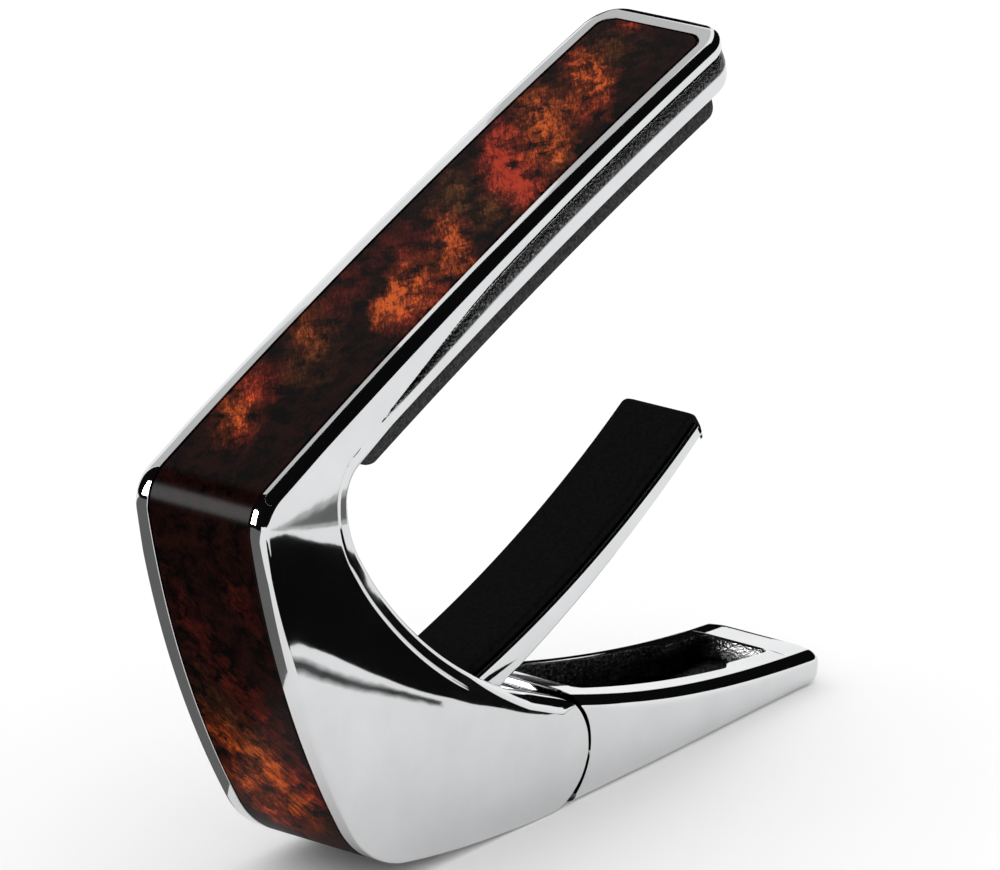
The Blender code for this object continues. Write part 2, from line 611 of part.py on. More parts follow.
def make_lever():
    """The lever: an open trough with a knuckle on its pivot and a tail that holds the drive pin."""
    lever = plate("squeeze_lever", lever_outline(), -HALF, HALF, CHROME, EDGE_ROUND)
    for side in (-1, 1):
        far = side * (HALF + 1.0)
        taper = [(TAPER_FROM, far), (TAPER_TO + 5.0, far), (TAPER_TO + 5.0, side * LEVER_TIP_HALF),
                 (TAPER_TO, side * LEVER_TIP_HALF)]
        build = sections([[(x, y, z) for x, y in taper] for z in (-1.0, 12.0)])
        cut(lever, finish_mesh(f"lever_taper_cutter_{side}", build))
        end = (LEVER_LENGTH_END, 6.0)
        cut(lever, plan_corner(f"lever_corner_cutter_{side}", end, 0.0, side, LEVER_TIP_HALF,
                               LEVER_PLAN_RADIUS))
    narrow_from = TROUGH_NARROWS_AT + TROUGH_STEP
    trough = [(TROUGH_FROM, -TROUGH_HALF), (TROUGH_NARROWS_AT, -TROUGH_HALF),
              (narrow_from, -TROUGH_TIP_HALF), (TROUGH_TO, -TROUGH_TIP_HALF),
              (TROUGH_TO, TROUGH_TIP_HALF), (narrow_from, TROUGH_TIP_HALF),
              (TROUGH_NARROWS_AT, TROUGH_HALF), (TROUGH_FROM, TROUGH_HALF)]
    build = sections([[(x, y, z) for x, y in trough] for z in (TROUGH_FLOOR, 14.0)])
    cut(lever, finish_mesh("trough_cutter", build))
    join(lever, round_bar("knuckle_tool", LEVER_PIVOT, KNUCKLE_RADIUS, -HUB_HALF, HUB_HALF, sides=40))
    join(lever, plate("knuckle_web_tool", KNUCKLE_WEB_OUTLINE, -HUB_HALF, HUB_HALF))
    tail = turned_rectangle(LEVER_PIVOT, ARM_PIVOT, 0.0, DRIVE_REACH, TAIL_HEIGHT_HALF)
    join(lever, plate("tail_tool", tail, -TAIL_HALF, TAIL_HALF))
    drive = toward(LEVER_PIVOT, ARM_PIVOT, DRIVE_REACH)
    join(lever, round_bar("tail_end_tool", drive, TAIL_HEIGHT_HALF, -TAIL_HALF, TAIL_HALF))
    cut(lever, round_bar("drive_hole_cutter", drive, DRIVE_PIN_RADIUS + PIECE_GAP, -3.0, 3.0))
    cut(lever, round_bar("lever_bore_cutter", LEVER_PIVOT, HOLE_RADIUS, -6.0, 6.0))
    round_bar("drive_pin", drive, DRIVE_PIN_RADIUS, -DRIVE_PIN_HALF, DRIVE_PIN_HALF, STEEL)


def shade(item):
    """Smooth faces with sharp corners kept."""
    if item.type == "MESH" and not item.hide_render:
        item.data.shade_smooth()
        item.data.set_sharp_from_angle(angle=math.radians(30.0))


def main():
    clear_scene()
    make_body()
    make_inlay()
    make_fret_pad()
    make_pins()
    make_spring()
    make_swing_arm()
    make_lever()
    for item in bpy.data.objects:
        shade(item)


main()
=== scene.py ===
"""Looks of the guitar capo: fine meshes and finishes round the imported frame, a studio and a camera.

Lengths are in millimetres in the capo's side view (x towards the lever's tip, z up, y across), and
place() turns them into metres in the frame. Angles are in degrees unless a name says otherwise.
"""

import functools
import json
import math
from types import SimpleNamespace

import bmesh
import bpy
import numpy as np
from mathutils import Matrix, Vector


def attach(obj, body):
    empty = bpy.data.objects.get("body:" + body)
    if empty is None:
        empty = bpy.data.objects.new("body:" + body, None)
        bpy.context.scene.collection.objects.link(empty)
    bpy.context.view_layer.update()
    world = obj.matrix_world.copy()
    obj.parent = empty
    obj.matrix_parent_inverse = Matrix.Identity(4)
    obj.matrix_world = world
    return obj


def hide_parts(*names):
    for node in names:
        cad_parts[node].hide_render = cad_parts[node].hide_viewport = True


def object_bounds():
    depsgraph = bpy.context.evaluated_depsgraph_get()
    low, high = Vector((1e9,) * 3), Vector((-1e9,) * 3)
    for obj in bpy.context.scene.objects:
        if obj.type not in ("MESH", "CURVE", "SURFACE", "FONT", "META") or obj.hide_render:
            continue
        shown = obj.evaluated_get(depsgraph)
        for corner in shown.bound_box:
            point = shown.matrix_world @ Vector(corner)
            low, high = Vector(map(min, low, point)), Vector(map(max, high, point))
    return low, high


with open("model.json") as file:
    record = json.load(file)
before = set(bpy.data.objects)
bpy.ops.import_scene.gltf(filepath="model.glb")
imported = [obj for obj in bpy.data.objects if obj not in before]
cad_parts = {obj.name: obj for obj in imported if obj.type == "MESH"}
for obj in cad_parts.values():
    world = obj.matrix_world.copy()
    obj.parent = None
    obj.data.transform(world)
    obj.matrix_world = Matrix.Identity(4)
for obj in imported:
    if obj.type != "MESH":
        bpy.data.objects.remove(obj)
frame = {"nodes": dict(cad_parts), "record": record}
CAD_LOW, CAD_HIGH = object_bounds()

MM = 0.001

# Body outline
HALF = 7.25
END_RADIUS = 5.3
LEVER_PIVOT = (28.3, END_RADIUS)
ARM_PIVOT = (16.6, 8.2)
BASE_RADIUS, BASE_TURN = 116.0, 10.0
HEEL_RADIUS, HEEL_TURN = 11.2, 49.0
SPINE_RADIUS, SPINE_TURN = 90.0, 20.0
CORNER_RADIUS, CORNER_TURN = 3.6, 75.0
ARM_RADIUS, ARM_TURN = 578.0, 6.68
TOP_END_ANGLE = 68.0
MOUTH_RIM_LENGTH = 4.6
THROAT_RADIUS, THROAT_TURN = 53.0, 34.0
ROOT_RADIUS, ROOT_TURN = 10.0, 34.0
ARMPIT_RADIUS, ARMPIT_TURN = 3.2, 64.5
UNDERSIDE_FROM = 14.44
ARM_DEPTH = 4.6
NOSE, NOSE_TOP_CUT, NOSE_TOP_LENGTH, NOSE_LOW_CUT, NOSE_LOW_LENGTH = 1.2, 0.8, 1.4, 3.0, 4.5
TIP_PLAN_RADIUS = 3.8

# Body section
END_EDGE, SPINE_EDGE, ARM_EDGE = 0.22, 0.5, 0.6
CORNER_BROW, TIP_BROW = 1.5, 1.1
LIP_ROUND, MOUTH_ROUND = 0.35, 1.35
OUT_OF_REACH = 9.0
OUTER_ZONE, INNER_ZONE = 3.0, 1.6
LIP, LIP_TIP = 1.15, 1.5
GROOVE_WALL = 0.14
GROOVE_THIN, GROOVE_WIDE = 0.28, 1.85
GROOVE_SHALLOW, GROOVE_DEEP = 0.14, 0.6
GROOVE_OPENS, GROOVE_OPEN = 10.0, 32.0
RECESS_HALF, RECESS_DEPTH, RECESS_START, RECESS_TIP = 5.6, 1.5, 13.5, 1.1
INLAY_CORNER, INLAY_HALF, INLAY_EDGE, INLAY_THICK = 1.6, 5.5, 0.14, 1.1
INLAY_START_GAP, INLAY_TIP_GAP = 0.15, 0.2

# Openings in the body
POCKET_HALF, POCKET_FLOOR = 4.75, 1.7
KNUCKLE_RADIUS, KNUCKLE_ROOM = 5.0, 0.4
CHANNEL_TOP, FLANGE_HALF, NECK_HALF, FLANGE_LOW = 2.6, 4.7, 3.9, 3.9
PAD_FROM, PAD_TO = 10.5, 64.4
HOLE_RADIUS, SCREW_HOLE_RADIUS = 1.36, 2.1
HOLE_FROM, SCREW_HOLE_FROM = -6.3, 5.6

# Pads
PAD_HALF, PAD_TOP, PAD_LOW = 6.8, 4.8, 6.6
PAD_END_RADIUS, PAD_ROUND, PAD_LIP = 1.4, 0.55, 0.15
SOLE_HALF, SOLE_LOW = 5.4, 5.5
SWING_START, SWING_SLOPE, SWING_BEND, SWING_RADIUS = (21.6, 14.3), 16.5, 16.6, 122.0
SWING_ROOT_RUN = 1.2
SWING_ROOT, SWING_TIP = 3.2, 1.4
SWING_HALF, SWING_EDGE, NECK_PAD_HALF = 4.25, 0.35, 3.85
FORK_REACH, FORK_HALF = 6.3, 2.8
SLOT_FROM, SLOT_TO, SLOT_HALF = 3.7, 9.1, 1.28
SPRING_ROOM_HALF = 2.15
NECK_PAD_TOP, NECK_PAD_CORNER, NECK_PAD_EDGE = 1.1, 0.5, 0.28
LIP_REACH, LIP_DROP, LIP_FROM, LIP_CURL = 0.72, 2.2, 0.3, 1.3

# Lever
LEVER_END = 70.3
SEAM_RADIUS = END_RADIUS + 0.35
SEAM_LOW_ANGLE = math.asin((0.7 - END_RADIUS) / SEAM_RADIUS)
LEVER_TIP_HALF = 6.7
TROUGH_FLOOR, TROUGH_FROM, TROUGH_TO = 1.5, 34.6, 65.4
TROUGH_HALF, TROUGH_TIP_HALF, TROUGH_STEP_FROM, TROUGH_STEP = 4.6, 3.6, 57.0, 2.0
TROUGH_SECTION = [(0.0, 1.0), (0.45, 1.0), (0.8, 1.0), (0.97, 0.98), (1.0, 0.9), (1.0, 0.5)]
RIM_SHARES = (0.0, 0.3, 0.65)
RIM_FALL = 0.14
LEVER_EDGE_LOW, LEVER_EDGE_HIGH, TROUGH_EDGE = 0.9, 1.35, 0.12
LEVER_NOSE_FROM = 68.4
TAIL_REACH, TAIL_HALF_HEIGHT, TAIL_HALF = 6.9, 1.75, 1.6
DRIVE_HOLE_RADIUS = 1.1

# Both moving parts' hubs
HUB_HALF, HUB_RADIUS = 4.05, 3.9
PAST_HUB = 6.0

ORIGIN_X = LEVER_END - CAD_HIGH.x / MM


class Path:
    """A smooth line in the side view, walked as lines and arcs, that can be asked for any distance."""

    SPACING = 0.1

    def __init__(self, x, z, heading):
        self.points = [(x, z)]
        self.headings = [math.radians(heading)]

    def line(self, length):
        x, z = self.points[-1]
        angle = self.headings[-1]
        steps = max(1, round(length / self.SPACING))
        for i in range(1, steps + 1):
            part = length * i / steps
            self.points.append((x + part * math.cos(angle), z + part * math.sin(angle)))
            self.headings.append(angle)
        return self

    def arc(self, radius, turn):
        """A positive turn bends left, a negative one right."""
        side = math.copysign(1.0, turn)
        x, z = self.points[-1]
        start = self.headings[-1]
        centre_x = x - side * radius * math.sin(start)
        centre_z = z + side * radius * math.cos(start)
        steps = max(6, round(abs(math.radians(turn)) * radius / self.SPACING))
        for i in range(1, steps + 1):
            heading = start + math.radians(turn) * i / steps
            self.points.append((centre_x + side * radius * math.sin(heading),
                                centre_z - side * radius * math.cos(heading)))
            self.headings.append(heading)
        return self

    def to(self, x, z):
        """A straight line to a point."""
        x0, z0 = self.points[-1]
        self.headings.append(math.atan2(z - z0, x - x0))
        self.points.append((x0, z0))
        return self.line(math.hypot(x - x0, z - z0))

    def measure(self):
        self.xz = np.array(self.points)
        self.heading = np.array(self.headings)
        steps = np.hypot(*np.diff(self.xz, axis=0).T)
        self.distance = np.concatenate([[0.0], np.cumsum(steps)])
        self.length = self.distance[-1]
        return self

    def at(self, distance):
        """Points and headings at these distances, straight on beyond the path's end."""
        distance = np.asarray(distance, float)
        inside = np.clip(distance, 0.0, self.length)
        x = np.interp(inside, self.distance, self.xz[:, 0])
        z = np.interp(inside, self.distance, self.xz[:, 1])
        heading = np.interp(inside, self.distance, self.heading)
        over = distance - inside
        return np.stack([x + over * np.cos(heading), z + over * np.sin(heading)], -1), heading


def smooth(t):
    t = np.clip(t, 0.0, 1.0)
    return t * t * (3 - 2 * t)


def round_off(distance, radius):
    """How far a surface falls away at this distance from a rounded edge or a rounded corner."""
    d = np.clip(distance, 0.0, radius)
    return radius - np.sqrt(np.maximum(radius ** 2 - (radius - d) ** 2, 0.0))


def quarter(radius, steps):
    """Distances from an edge that space a quarter circle evenly, edge first."""
    return [radius * (1 - math.cos(math.pi / 2 * i / steps)) for i in range(steps + 1)]


def nearest(points, line):
    """The distance from each point to the nearest point of a dense line."""
    flat = points.reshape(-1, 2)
    found = np.empty(len(flat))
    for first in range(0, len(flat), 2000):
        part = flat[first:first + 2000]
        gap = part[:, None, :] - line[None, :, :]
        found[first:first + 2000] = np.sqrt((gap ** 2).sum(-1).min(1))
    return found.reshape(points.shape[:-1])


def place(points):
    """Side-view millimetres, as (x, y, z), in metres in the frame."""
    moved = np.array(points, float)
    moved[..., 0] -= ORIGIN_X
    return moved * MM


def add_object(name, mesh):
    item = bpy.data.objects.new(name, mesh)
    bpy.context.scene.collection.objects.link(item)
    return item


def new_piece(name, mesh, body, slot, *nodes):
    """A piece that rides on a body and stands for CAD nodes. slot is not used."""
    item = add_object(name, mesh)
    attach(item, body)
    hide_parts(*nodes)
    return item


def loft_mesh(name, rings, uv=None, values=None, mirrored=False):
    """A closed mesh through rings of points; values is a per-point attribute for the finish.

    A mirrored ring starts on the middle plane, so that its caps can be bridged straight across.
    """
    rings = np.asarray(rings, float)
    count, size = rings.shape[:2]
    index = np.arange(count * size).reshape(count, size)
    onward = np.roll(index, -1, axis=1)
    quads = np.stack([index[:-1], onward[:-1], onward[1:], index[1:]], -1).reshape(-1, 4)
    faces = [tuple(int(v) for v in quad) for quad in quads]
    for ring, turn in ((index[0], -1), (index[-1], 1)):
        if not mirrored:
            faces.append(tuple(int(v) for v in ring[::turn]))
            continue
        for i in range(size // 2):
            bridge = [ring[i], ring[i + 1], ring[-i - 1], ring[-i]]
            bridge = [int(v) for k, v in enumerate(bridge) if v not in bridge[:k]]
            if len(bridge) > 2:
                faces.append(tuple(bridge[::turn]))
    mesh = bpy.data.meshes.new(name)
    mesh.from_pydata([tuple(p) for p in place(rings).reshape(-1, 3)], [], faces)
    if values is not None:
        layer = mesh.attributes.new("finish", "FLOAT", "POINT")
        layer.data.foreach_set("value", np.asarray(values, np.float32).ravel())
    if uv is not None:
        flat = np.asarray(uv, float).reshape(-1, 2)
        layer = mesh.uv_layers.new(name="strip")
        corners = np.zeros(len(mesh.loops), np.int64)
        mesh.loops.foreach_get("vertex_index", corners)
        layer.data.foreach_set("uv", flat[corners].ravel())
    build = bmesh.new()
    build.from_mesh(mesh)
    bmesh.ops.remove_doubles(build, verts=build.verts, dist=2e-6)
    bmesh.ops.recalc_face_normals(build, faces=build.faces)
    build.to_mesh(mesh)
    build.free()
    return mesh


def mirrored_mesh(name, xz, y, values):
    """A closed mesh from one half's points, in a row for each ring, and the same on the other side."""
    near, far = (np.stack([xz[..., 0], y * side, xz[..., 1]], -1) for side in (-1.0, 1.0))
    rings = np.concatenate([near, far[:, -2:0:-1]], 1)
    values = np.concatenate([values, values[:, -2:0:-1]], 1)
    return loft_mesh(name, rings, values=values, mirrored=True)


def finish_piece(item, look, angle=32.0):
    """Smooth shading with sharp edges past an angle, and one material."""
    item.data.shade_smooth()
    item.data.set_sharp_from_angle(angle=math.radians(angle))
    item.data.materials.clear()
    item.data.materials.append(look)


def prism(name, outline, y_low, y_high, finish=0.0):
    """A cutter or tool: a side-view outline carried across, polished (0) or as cast (1), the cast skin's
    dark colour being partly painted shade.
    """
    rings = [[(x, y, z) for x, z in outline] for y in (y_low, y_high)]
    return add_object(name, loft_mesh(name, rings, values=np.full((2, len(outline)), finish)))


def disc(centre, radius, sides=72):
    """A circle's side-view points."""
    turn = 2 * math.pi / sides
    return [(centre[0] + radius * math.cos(turn * i), centre[1] + radius * math.sin(turn * i))
            for i in range(sides)]


def apply_booleans(item, tools):
    """Cut or join the tools, keep the result as the piece's own mesh, and remove the tools."""
    for operation, tool in tools:
        step = item.modifiers.new(tool.name, "BOOLEAN")
        step.operation = operation
        step.solver = "EXACT"
        step.object = tool
    bpy.context.view_layer.update()
    graph = bpy.context.evaluated_depsgraph_get()
    made = bpy.data.meshes.new_from_object(item.evaluated_get(graph), depsgraph=graph,
                                           preserve_all_data_layers=True)
    item.modifiers.clear()
    item.data = made
    for _, tool in tools:
        bpy.data.objects.remove(tool)


# ---------------------------------------------------------------- paths

OUTER = Path(LEVER_PIVOT[0], 0.0, 180.0)
OUTER.arc(BASE_RADIUS, -BASE_TURN).arc(HEEL_RADIUS, -HEEL_TURN).arc(SPINE_RADIUS, -SPINE_TURN)
OUTER.arc(CORNER_RADIUS, -CORNER_TURN).arc(ARM_RADIUS, -ARM_TURN).measure()
ARM_LENGTH = ARM_RADIUS * math.radians(ARM_TURN)
HEEL_AT = BASE_RADIUS * math.radians(BASE_TURN)
SPINE_AT = HEEL_AT + HEEL_RADIUS * math.radians(HEEL_TURN)
CORNER_AT = SPINE_AT + SPINE_RADIUS * math.radians(SPINE_TURN)
ARM_AT = OUTER.length - ARM_LENGTH
SWING = Path(SWING_START[0] - SWING_ROOT_RUN * math.cos(math.radians(SWING_SLOPE)),
             SWING_START[1] - SWING_ROOT_RUN * math.sin(math.radians(SWING_SLOPE)), SWING_SLOPE)
SWING.line(SWING_ROOT_RUN).arc(SWING_RADIUS, SWING_BEND).measure()


def beside(path, distance, depth):
    """The point at a depth to the right of a path."""
    point, heading = path.at(distance)
    return point + np.stack([np.sin(heading), -np.cos(heading)], -1) * depth


def inner_path():
    """The inside of the body, from the mouth along the throat and the arm's underside to the tip."""
    angle = math.radians(TOP_END_ANGLE)
    path = Path(LEVER_PIVOT[0] + END_RADIUS * math.cos(angle),
                LEVER_PIVOT[1] + END_RADIUS * math.sin(angle), TOP_END_ANGLE + 90.0)
    path.line(MOUTH_RIM_LENGTH).arc(THROAT_RADIUS, -THROAT_TURN)
    path.arc(ROOT_RADIUS, -ROOT_TURN).arc(ARMPIT_RADIUS, -ARMPIT_TURN)
    path.to(*beside(OUTER, ARM_AT + UNDERSIDE_FROM, ARM_DEPTH))
    _, heading = OUTER.at(ARM_AT + UNDERSIDE_FROM)
    path.headings[-1] = float(heading)
    path.arc(ARM_RADIUS - ARM_DEPTH, -math.degrees((ARM_LENGTH - UNDERSIDE_FROM) / ARM_RADIUS))
    return path.measure()


def ring_under(distance, section):
    """A ring across the body at a distance along it, from pairs of y and depth."""
    spots = [(beside(OUTER, distance, depth), y) for y, depth in section]
    return [(x, y, z) for (x, z), y in spots]


INNER = inner_path()
ROOT_AT = MOUTH_RIM_LENGTH + THROAT_RADIUS * math.radians(THROAT_TURN)
ARMPIT_AT = ROOT_AT + ROOT_RADIUS * math.radians(ROOT_TURN)
ARMPIT_END = ARMPIT_AT + ARMPIT_RADIUS * math.radians(ARMPIT_TURN)
UNDERSIDE_AT = INNER.length - (ARM_RADIUS - ARM_DEPTH) * (ARM_LENGTH - UNDERSIDE_FROM) / ARM_RADIUS


# ---------------------------------------------------------------- body

def body_stations():
    """Distances along the outer path with the matching ones along the inner path, tip last."""
    pairs = [(0.0, 0.0), (HEEL_AT, 9.0), (SPINE_AT, 17.5), (CORNER_AT, ARMPIT_AT),
             (ARM_AT + 7.0, ARMPIT_END), (ARM_AT + UNDERSIDE_FROM, UNDERSIDE_AT),
             (OUTER.length, INNER.length)]
    recess_end = OUTER.length - RECESS_TIP
    outer = [np.linspace(*run, count, endpoint=False) for run, count in (
        ((0.0, 1.2), 8), ((1.2, HEEL_AT), 26), ((HEEL_AT, SPINE_AT), 16), ((SPINE_AT, CORNER_AT), 48),
        ((CORNER_AT, ARM_AT), 34), ((ARM_AT, ARM_AT + 7.0), 10),
        ((ARM_AT + 7.0, OUTER.length), 130))]
    outer.append([RECESS_START, RECESS_START + 0.02, recess_end, recess_end + 0.02])
    outer.append(recess_end - np.array(quarter(INLAY_CORNER, 8))[1:])
    outer.append(OUTER.length + NOSE - np.array(quarter(TIP_PLAN_RADIUS, 16)))
    outer.append(OUTER.length + NOSE - np.array(quarter(NOSE_TOP_LENGTH, 6)))
    outer = np.sort(np.concatenate(outer))
    inner = np.interp(outer, *np.array(pairs).T)
    beyond = outer > OUTER.length
    inner[beyond] = INNER.length + (outer[beyond] - OUTER.length)
    return outer, inner


def recess_half(distance):
    """Half the recess's width at a distance along the outer path, or 0 outside it."""
    end = OUTER.length - RECESS_TIP
    inside = (distance > RECESS_START + 0.01) & (distance < end + 0.01)
    return np.where(inside, RECESS_HALF - round_off(end - distance, INLAY_CORNER), 0.0)


def unit(vectors):
    """The same directions at length 1."""
    return vectors / np.maximum(np.linalg.norm(vectors, axis=-1, keepdims=True), 1e-9)


def side_relief(inner_at, from_inner):
    """How far the housing's side is set back: a shallow dish that follows the throat."""
    # where the dish starts: distances along the inner path and from it
    along = [0.0, 4.0, 9.0, 16.0, 24.0, 31.0, 38.0]
    start = [1.8, 1.95, 2.1, 3.0, 5.1, 7.7, 12.0]
    tilt = [0.05, 0.05, 0.045, 0.04, 0.035, 0.03, 0.0]
    reach = np.interp(inner_at, along, start)[:, None]
    slope = np.interp(inner_at, along, tilt)[:, None]
    past = reach - from_inner
    ramp = np.where(past > 0, np.sqrt(past ** 2 + 0.3 ** 2) - 0.3, 0.0)
    fade = smooth((38.0 - inner_at) / 6.0)[:, None]
    return slope * ramp * fade


def body_lines():
    """For each station, round end first: its outer and inner edge, the ways in, and its sizes."""
    outer_at, inner_at = body_stations()
    tops, headings = OUTER.at(outer_at)
    lows, low_headings = INNER.at(inner_at)
    inward = np.stack([np.sin(headings), -np.cos(headings)], -1)
    up = np.stack([-np.sin(low_headings), np.cos(low_headings)], -1)
    to_end = OUTER.length + NOSE - outer_at
    top_cut = NOSE_TOP_CUT / NOSE_TOP_LENGTH * round_off(to_end, NOSE_TOP_LENGTH)
    low_cut = NOSE_LOW_CUT / NOSE_LOW_LENGTH * round_off(to_end, NOSE_LOW_LENGTH)

    # the round end: pairs of points that close in on its middle
    sweep = math.radians(TOP_END_ANGLE + 90.0)
    share = 0.5 - 0.5 * np.linspace(0.0, 1.0, 19)[:-1] ** 0.8
    low_angle = -math.pi / 2 + sweep * share
    high_angle = math.radians(TOP_END_ANGLE) - sweep * share
    end_inward = -np.stack([np.cos(low_angle), np.sin(low_angle)], -1)
    end_up = -np.stack([np.cos(high_angle), np.sin(high_angle)], -1)
    none = np.zeros(len(share))
    parts = {
        "tops": (np.array(LEVER_PIVOT) - END_RADIUS * end_inward, tops + inward * top_cut[:, None]),
        "lows": (np.array(LEVER_PIVOT) - END_RADIUS * end_up, lows + up * low_cut[:, None]),
        "inward": (end_inward, inward),
        "up": (end_up, up),
        "half": (none + HALF, HALF - round_off(to_end, TIP_PLAN_RADIUS)),
        "recess": (none, recess_half(outer_at)),
        "top_cut": (none, top_cut),
        "outer_at": (none - 1.0, outer_at),
        "inner_at": (-END_RADIUS * sweep * share, inner_at),
    }
    return SimpleNamespace(**{name: np.concatenate(pair) for name, pair in parts.items()})


def zone(edge, reach, fine, coarse):
    """Distances from an edge out to reach, close together over its rounding."""
    near = edge[:, None] * np.array(quarter(1.0, fine))
    rest = np.linspace(0.0, 1.0, coarse)[1:]
    return np.concatenate([near, edge[:, None] + (reach - edge[:, None]) * rest], 1)


def body_side(body, edge, lip_edge):
    """The side's points from the outer edge to the inner one, with their distances from both."""
    span = np.linalg.norm(body.lows - body.tops, axis=1)
    size = np.minimum(1.0, span / ARM_DEPTH)[:, None]
    near = zone(edge, OUTER_ZONE, 24, 61) * size
    far = (zone(lip_edge, INNER_ZONE, 8, 15) * size)[:, ::-1]
    chord = unit(body.lows - body.tops)
    trust = smooth((span - ARM_DEPTH) / 4.0)[:, None]
    from_top = unit(chord + (body.inward - chord) * trust)
    from_low = unit(-chord + (body.up + chord) * trust)
    outer_zone = body.tops[:, None, :] + from_top[:, None, :] * near[..., None]
    inner_zone = body.lows[:, None, :] + from_low[:, None, :] * far[..., None]
    share = np.linspace(0.0, 1.0, 66)[None, 1:-1, None]
    middle = outer_zone[:, -1:, :] + (inner_zone[:, :1, :] - outer_zone[:, -1:, :]) * share
    side = np.concatenate([outer_zone, middle, inner_zone], 1)
    blank = np.full(middle.shape[:2], OUT_OF_REACH)
    from_outer = np.concatenate([near, blank, np.full(far.shape, OUT_OF_REACH)], 1)
    from_inner = np.concatenate([np.full(near.shape, OUT_OF_REACH), blank, far], 1)
    return side, from_outer, from_inner, np.sqrt(size)


def groove_and_shaded_skin(body, side, to_inner):
    """The long groove's depth along the side, and where the side keeps its dull cast skin, whose dark
    colour paints shade into the groove.
    """
    arm = body.outer_at - ARM_AT
    to_tip = ARM_LENGTH + NOSE - arm
    depth_in = np.linalg.norm(side - body.tops[:, None, :], axis=-1) + body.top_cut[:, None]
    from_base = np.where((arm > UNDERSIDE_FROM)[:, None], ARM_DEPTH - depth_in, to_inner)
    opened = smooth((arm - GROOVE_OPENS) / (GROOVE_OPEN - GROOVE_OPENS))
    width = (GROOVE_THIN + (GROOVE_WIDE - GROOVE_THIN) * opened)[:, None]
    lip = (LIP + (LIP_TIP - LIP) * smooth((arm - 20.0) / 24.0))[:, None]
    depth = GROOVE_SHALLOW + (GROOVE_DEEP - GROOVE_SHALLOW) * smooth(opened * 2)
    depth = depth * smooth((to_tip - 0.2) / 1.2) * smooth((body.inner_at - 13.0) / 6.0)
    to_wall = lip + width - from_base
    wall = smooth(to_wall / GROOVE_WALL)
    bead = np.exp(-((to_wall / width - 0.26) / 0.06) ** 2) * smooth((opened - 0.4) / 0.4)[:, None]
    floor = np.clip((from_base - lip) / width, 0.0, 1.0) ** 2 * wall
    # the groove's floor and walls get the cast skin: a real rough speckled casting, with painted shade in
    # its dark colour
    dull = smooth((from_base - lip) / (0.12 * width)) * wall
    skin = dull * smooth((opened[:, None] - 0.05) * 4) * (1 - bead)
    return floor * depth[:, None] * (1 - 0.22 * bead), skin


def body_mesh():
    """The whole body in one skin, before its openings are cut."""
    body = body_lines()
    # the long edges are part ellipses: edge is how far they reach down the side, brow how far in
    runs = [0.0, 8.0, SPINE_AT, CORNER_AT - 4.0, CORNER_AT + 4.0, ARM_AT + 30.0, ARM_AT + 56.0]
    edge = np.interp(body.outer_at, runs, [END_EDGE] + [SPINE_EDGE] * 3 + [ARM_EDGE] * 3)
    brow = np.interp(body.outer_at, runs, [END_EDGE] + [SPINE_EDGE] * 3 + [CORNER_BROW] * 2 + [TIP_BROW])
    lip_edge = np.interp(body.inner_at, [-1.6, -0.2, 5.0, 15.0],
                         [END_EDGE, MOUTH_ROUND, MOUTH_ROUND, LIP_ROUND])
    side, from_outer, from_inner, scale = body_side(body, edge, lip_edge)
    to_inner = nearest(side, INNER.xz)
    # skin marks the groove for the dark cast skin, which is partly painted shade
    groove, skin = groove_and_shaded_skin(body, side, to_inner)
    dish = side_relief(body.inner_at, to_inner)
    dish = dish * smooth((nearest(side, OUTER.xz) - 0.4) / 1.5)
    dish = dish * smooth((body.inner_at + 0.3) / 2.0)[:, None]
    fall = brow[:, None] * round_off(from_outer / edge[:, None], 1.0)
    fall = fall + round_off(from_inner, lip_edge[:, None])
    across = body.half[:, None] - (fall * scale + groove + dish)

    # the top, from the middle to the shoulder, with the recess where there is one
    has_recess = (body.recess > 0)[:, None]
    wide = np.where(has_recess, body.recess[:, None], RECESS_HALF)
    top_y = np.concatenate([wide * 0.0, wide * 0.5, wide - 0.4, wide - 0.02, wide, wide + 0.02,
                            wide + 0.05], 1)
    top_y = np.minimum(top_y, (body.half - brow)[:, None])
    top_depth = np.where(has_recess, [[RECESS_DEPTH] * 4 + [0.06, 0.02, 0.0]], 0.0)
    top_xz = body.tops[:, None, :] + body.inward[:, None, :] * top_depth[..., None]
    low_y = across[:, -1:] * np.array([[0.75, 0.4, 0.0]])
    low_xz = np.repeat(body.lows[:, None, :], 3, 1)
    return mirrored_mesh("body_shell", np.concatenate([top_xz, side, low_xz], 1),
                         np.concatenate([top_y, across, low_y], 1),
                         np.concatenate([np.zeros_like(top_y), skin, np.zeros_like(low_y)], 1))


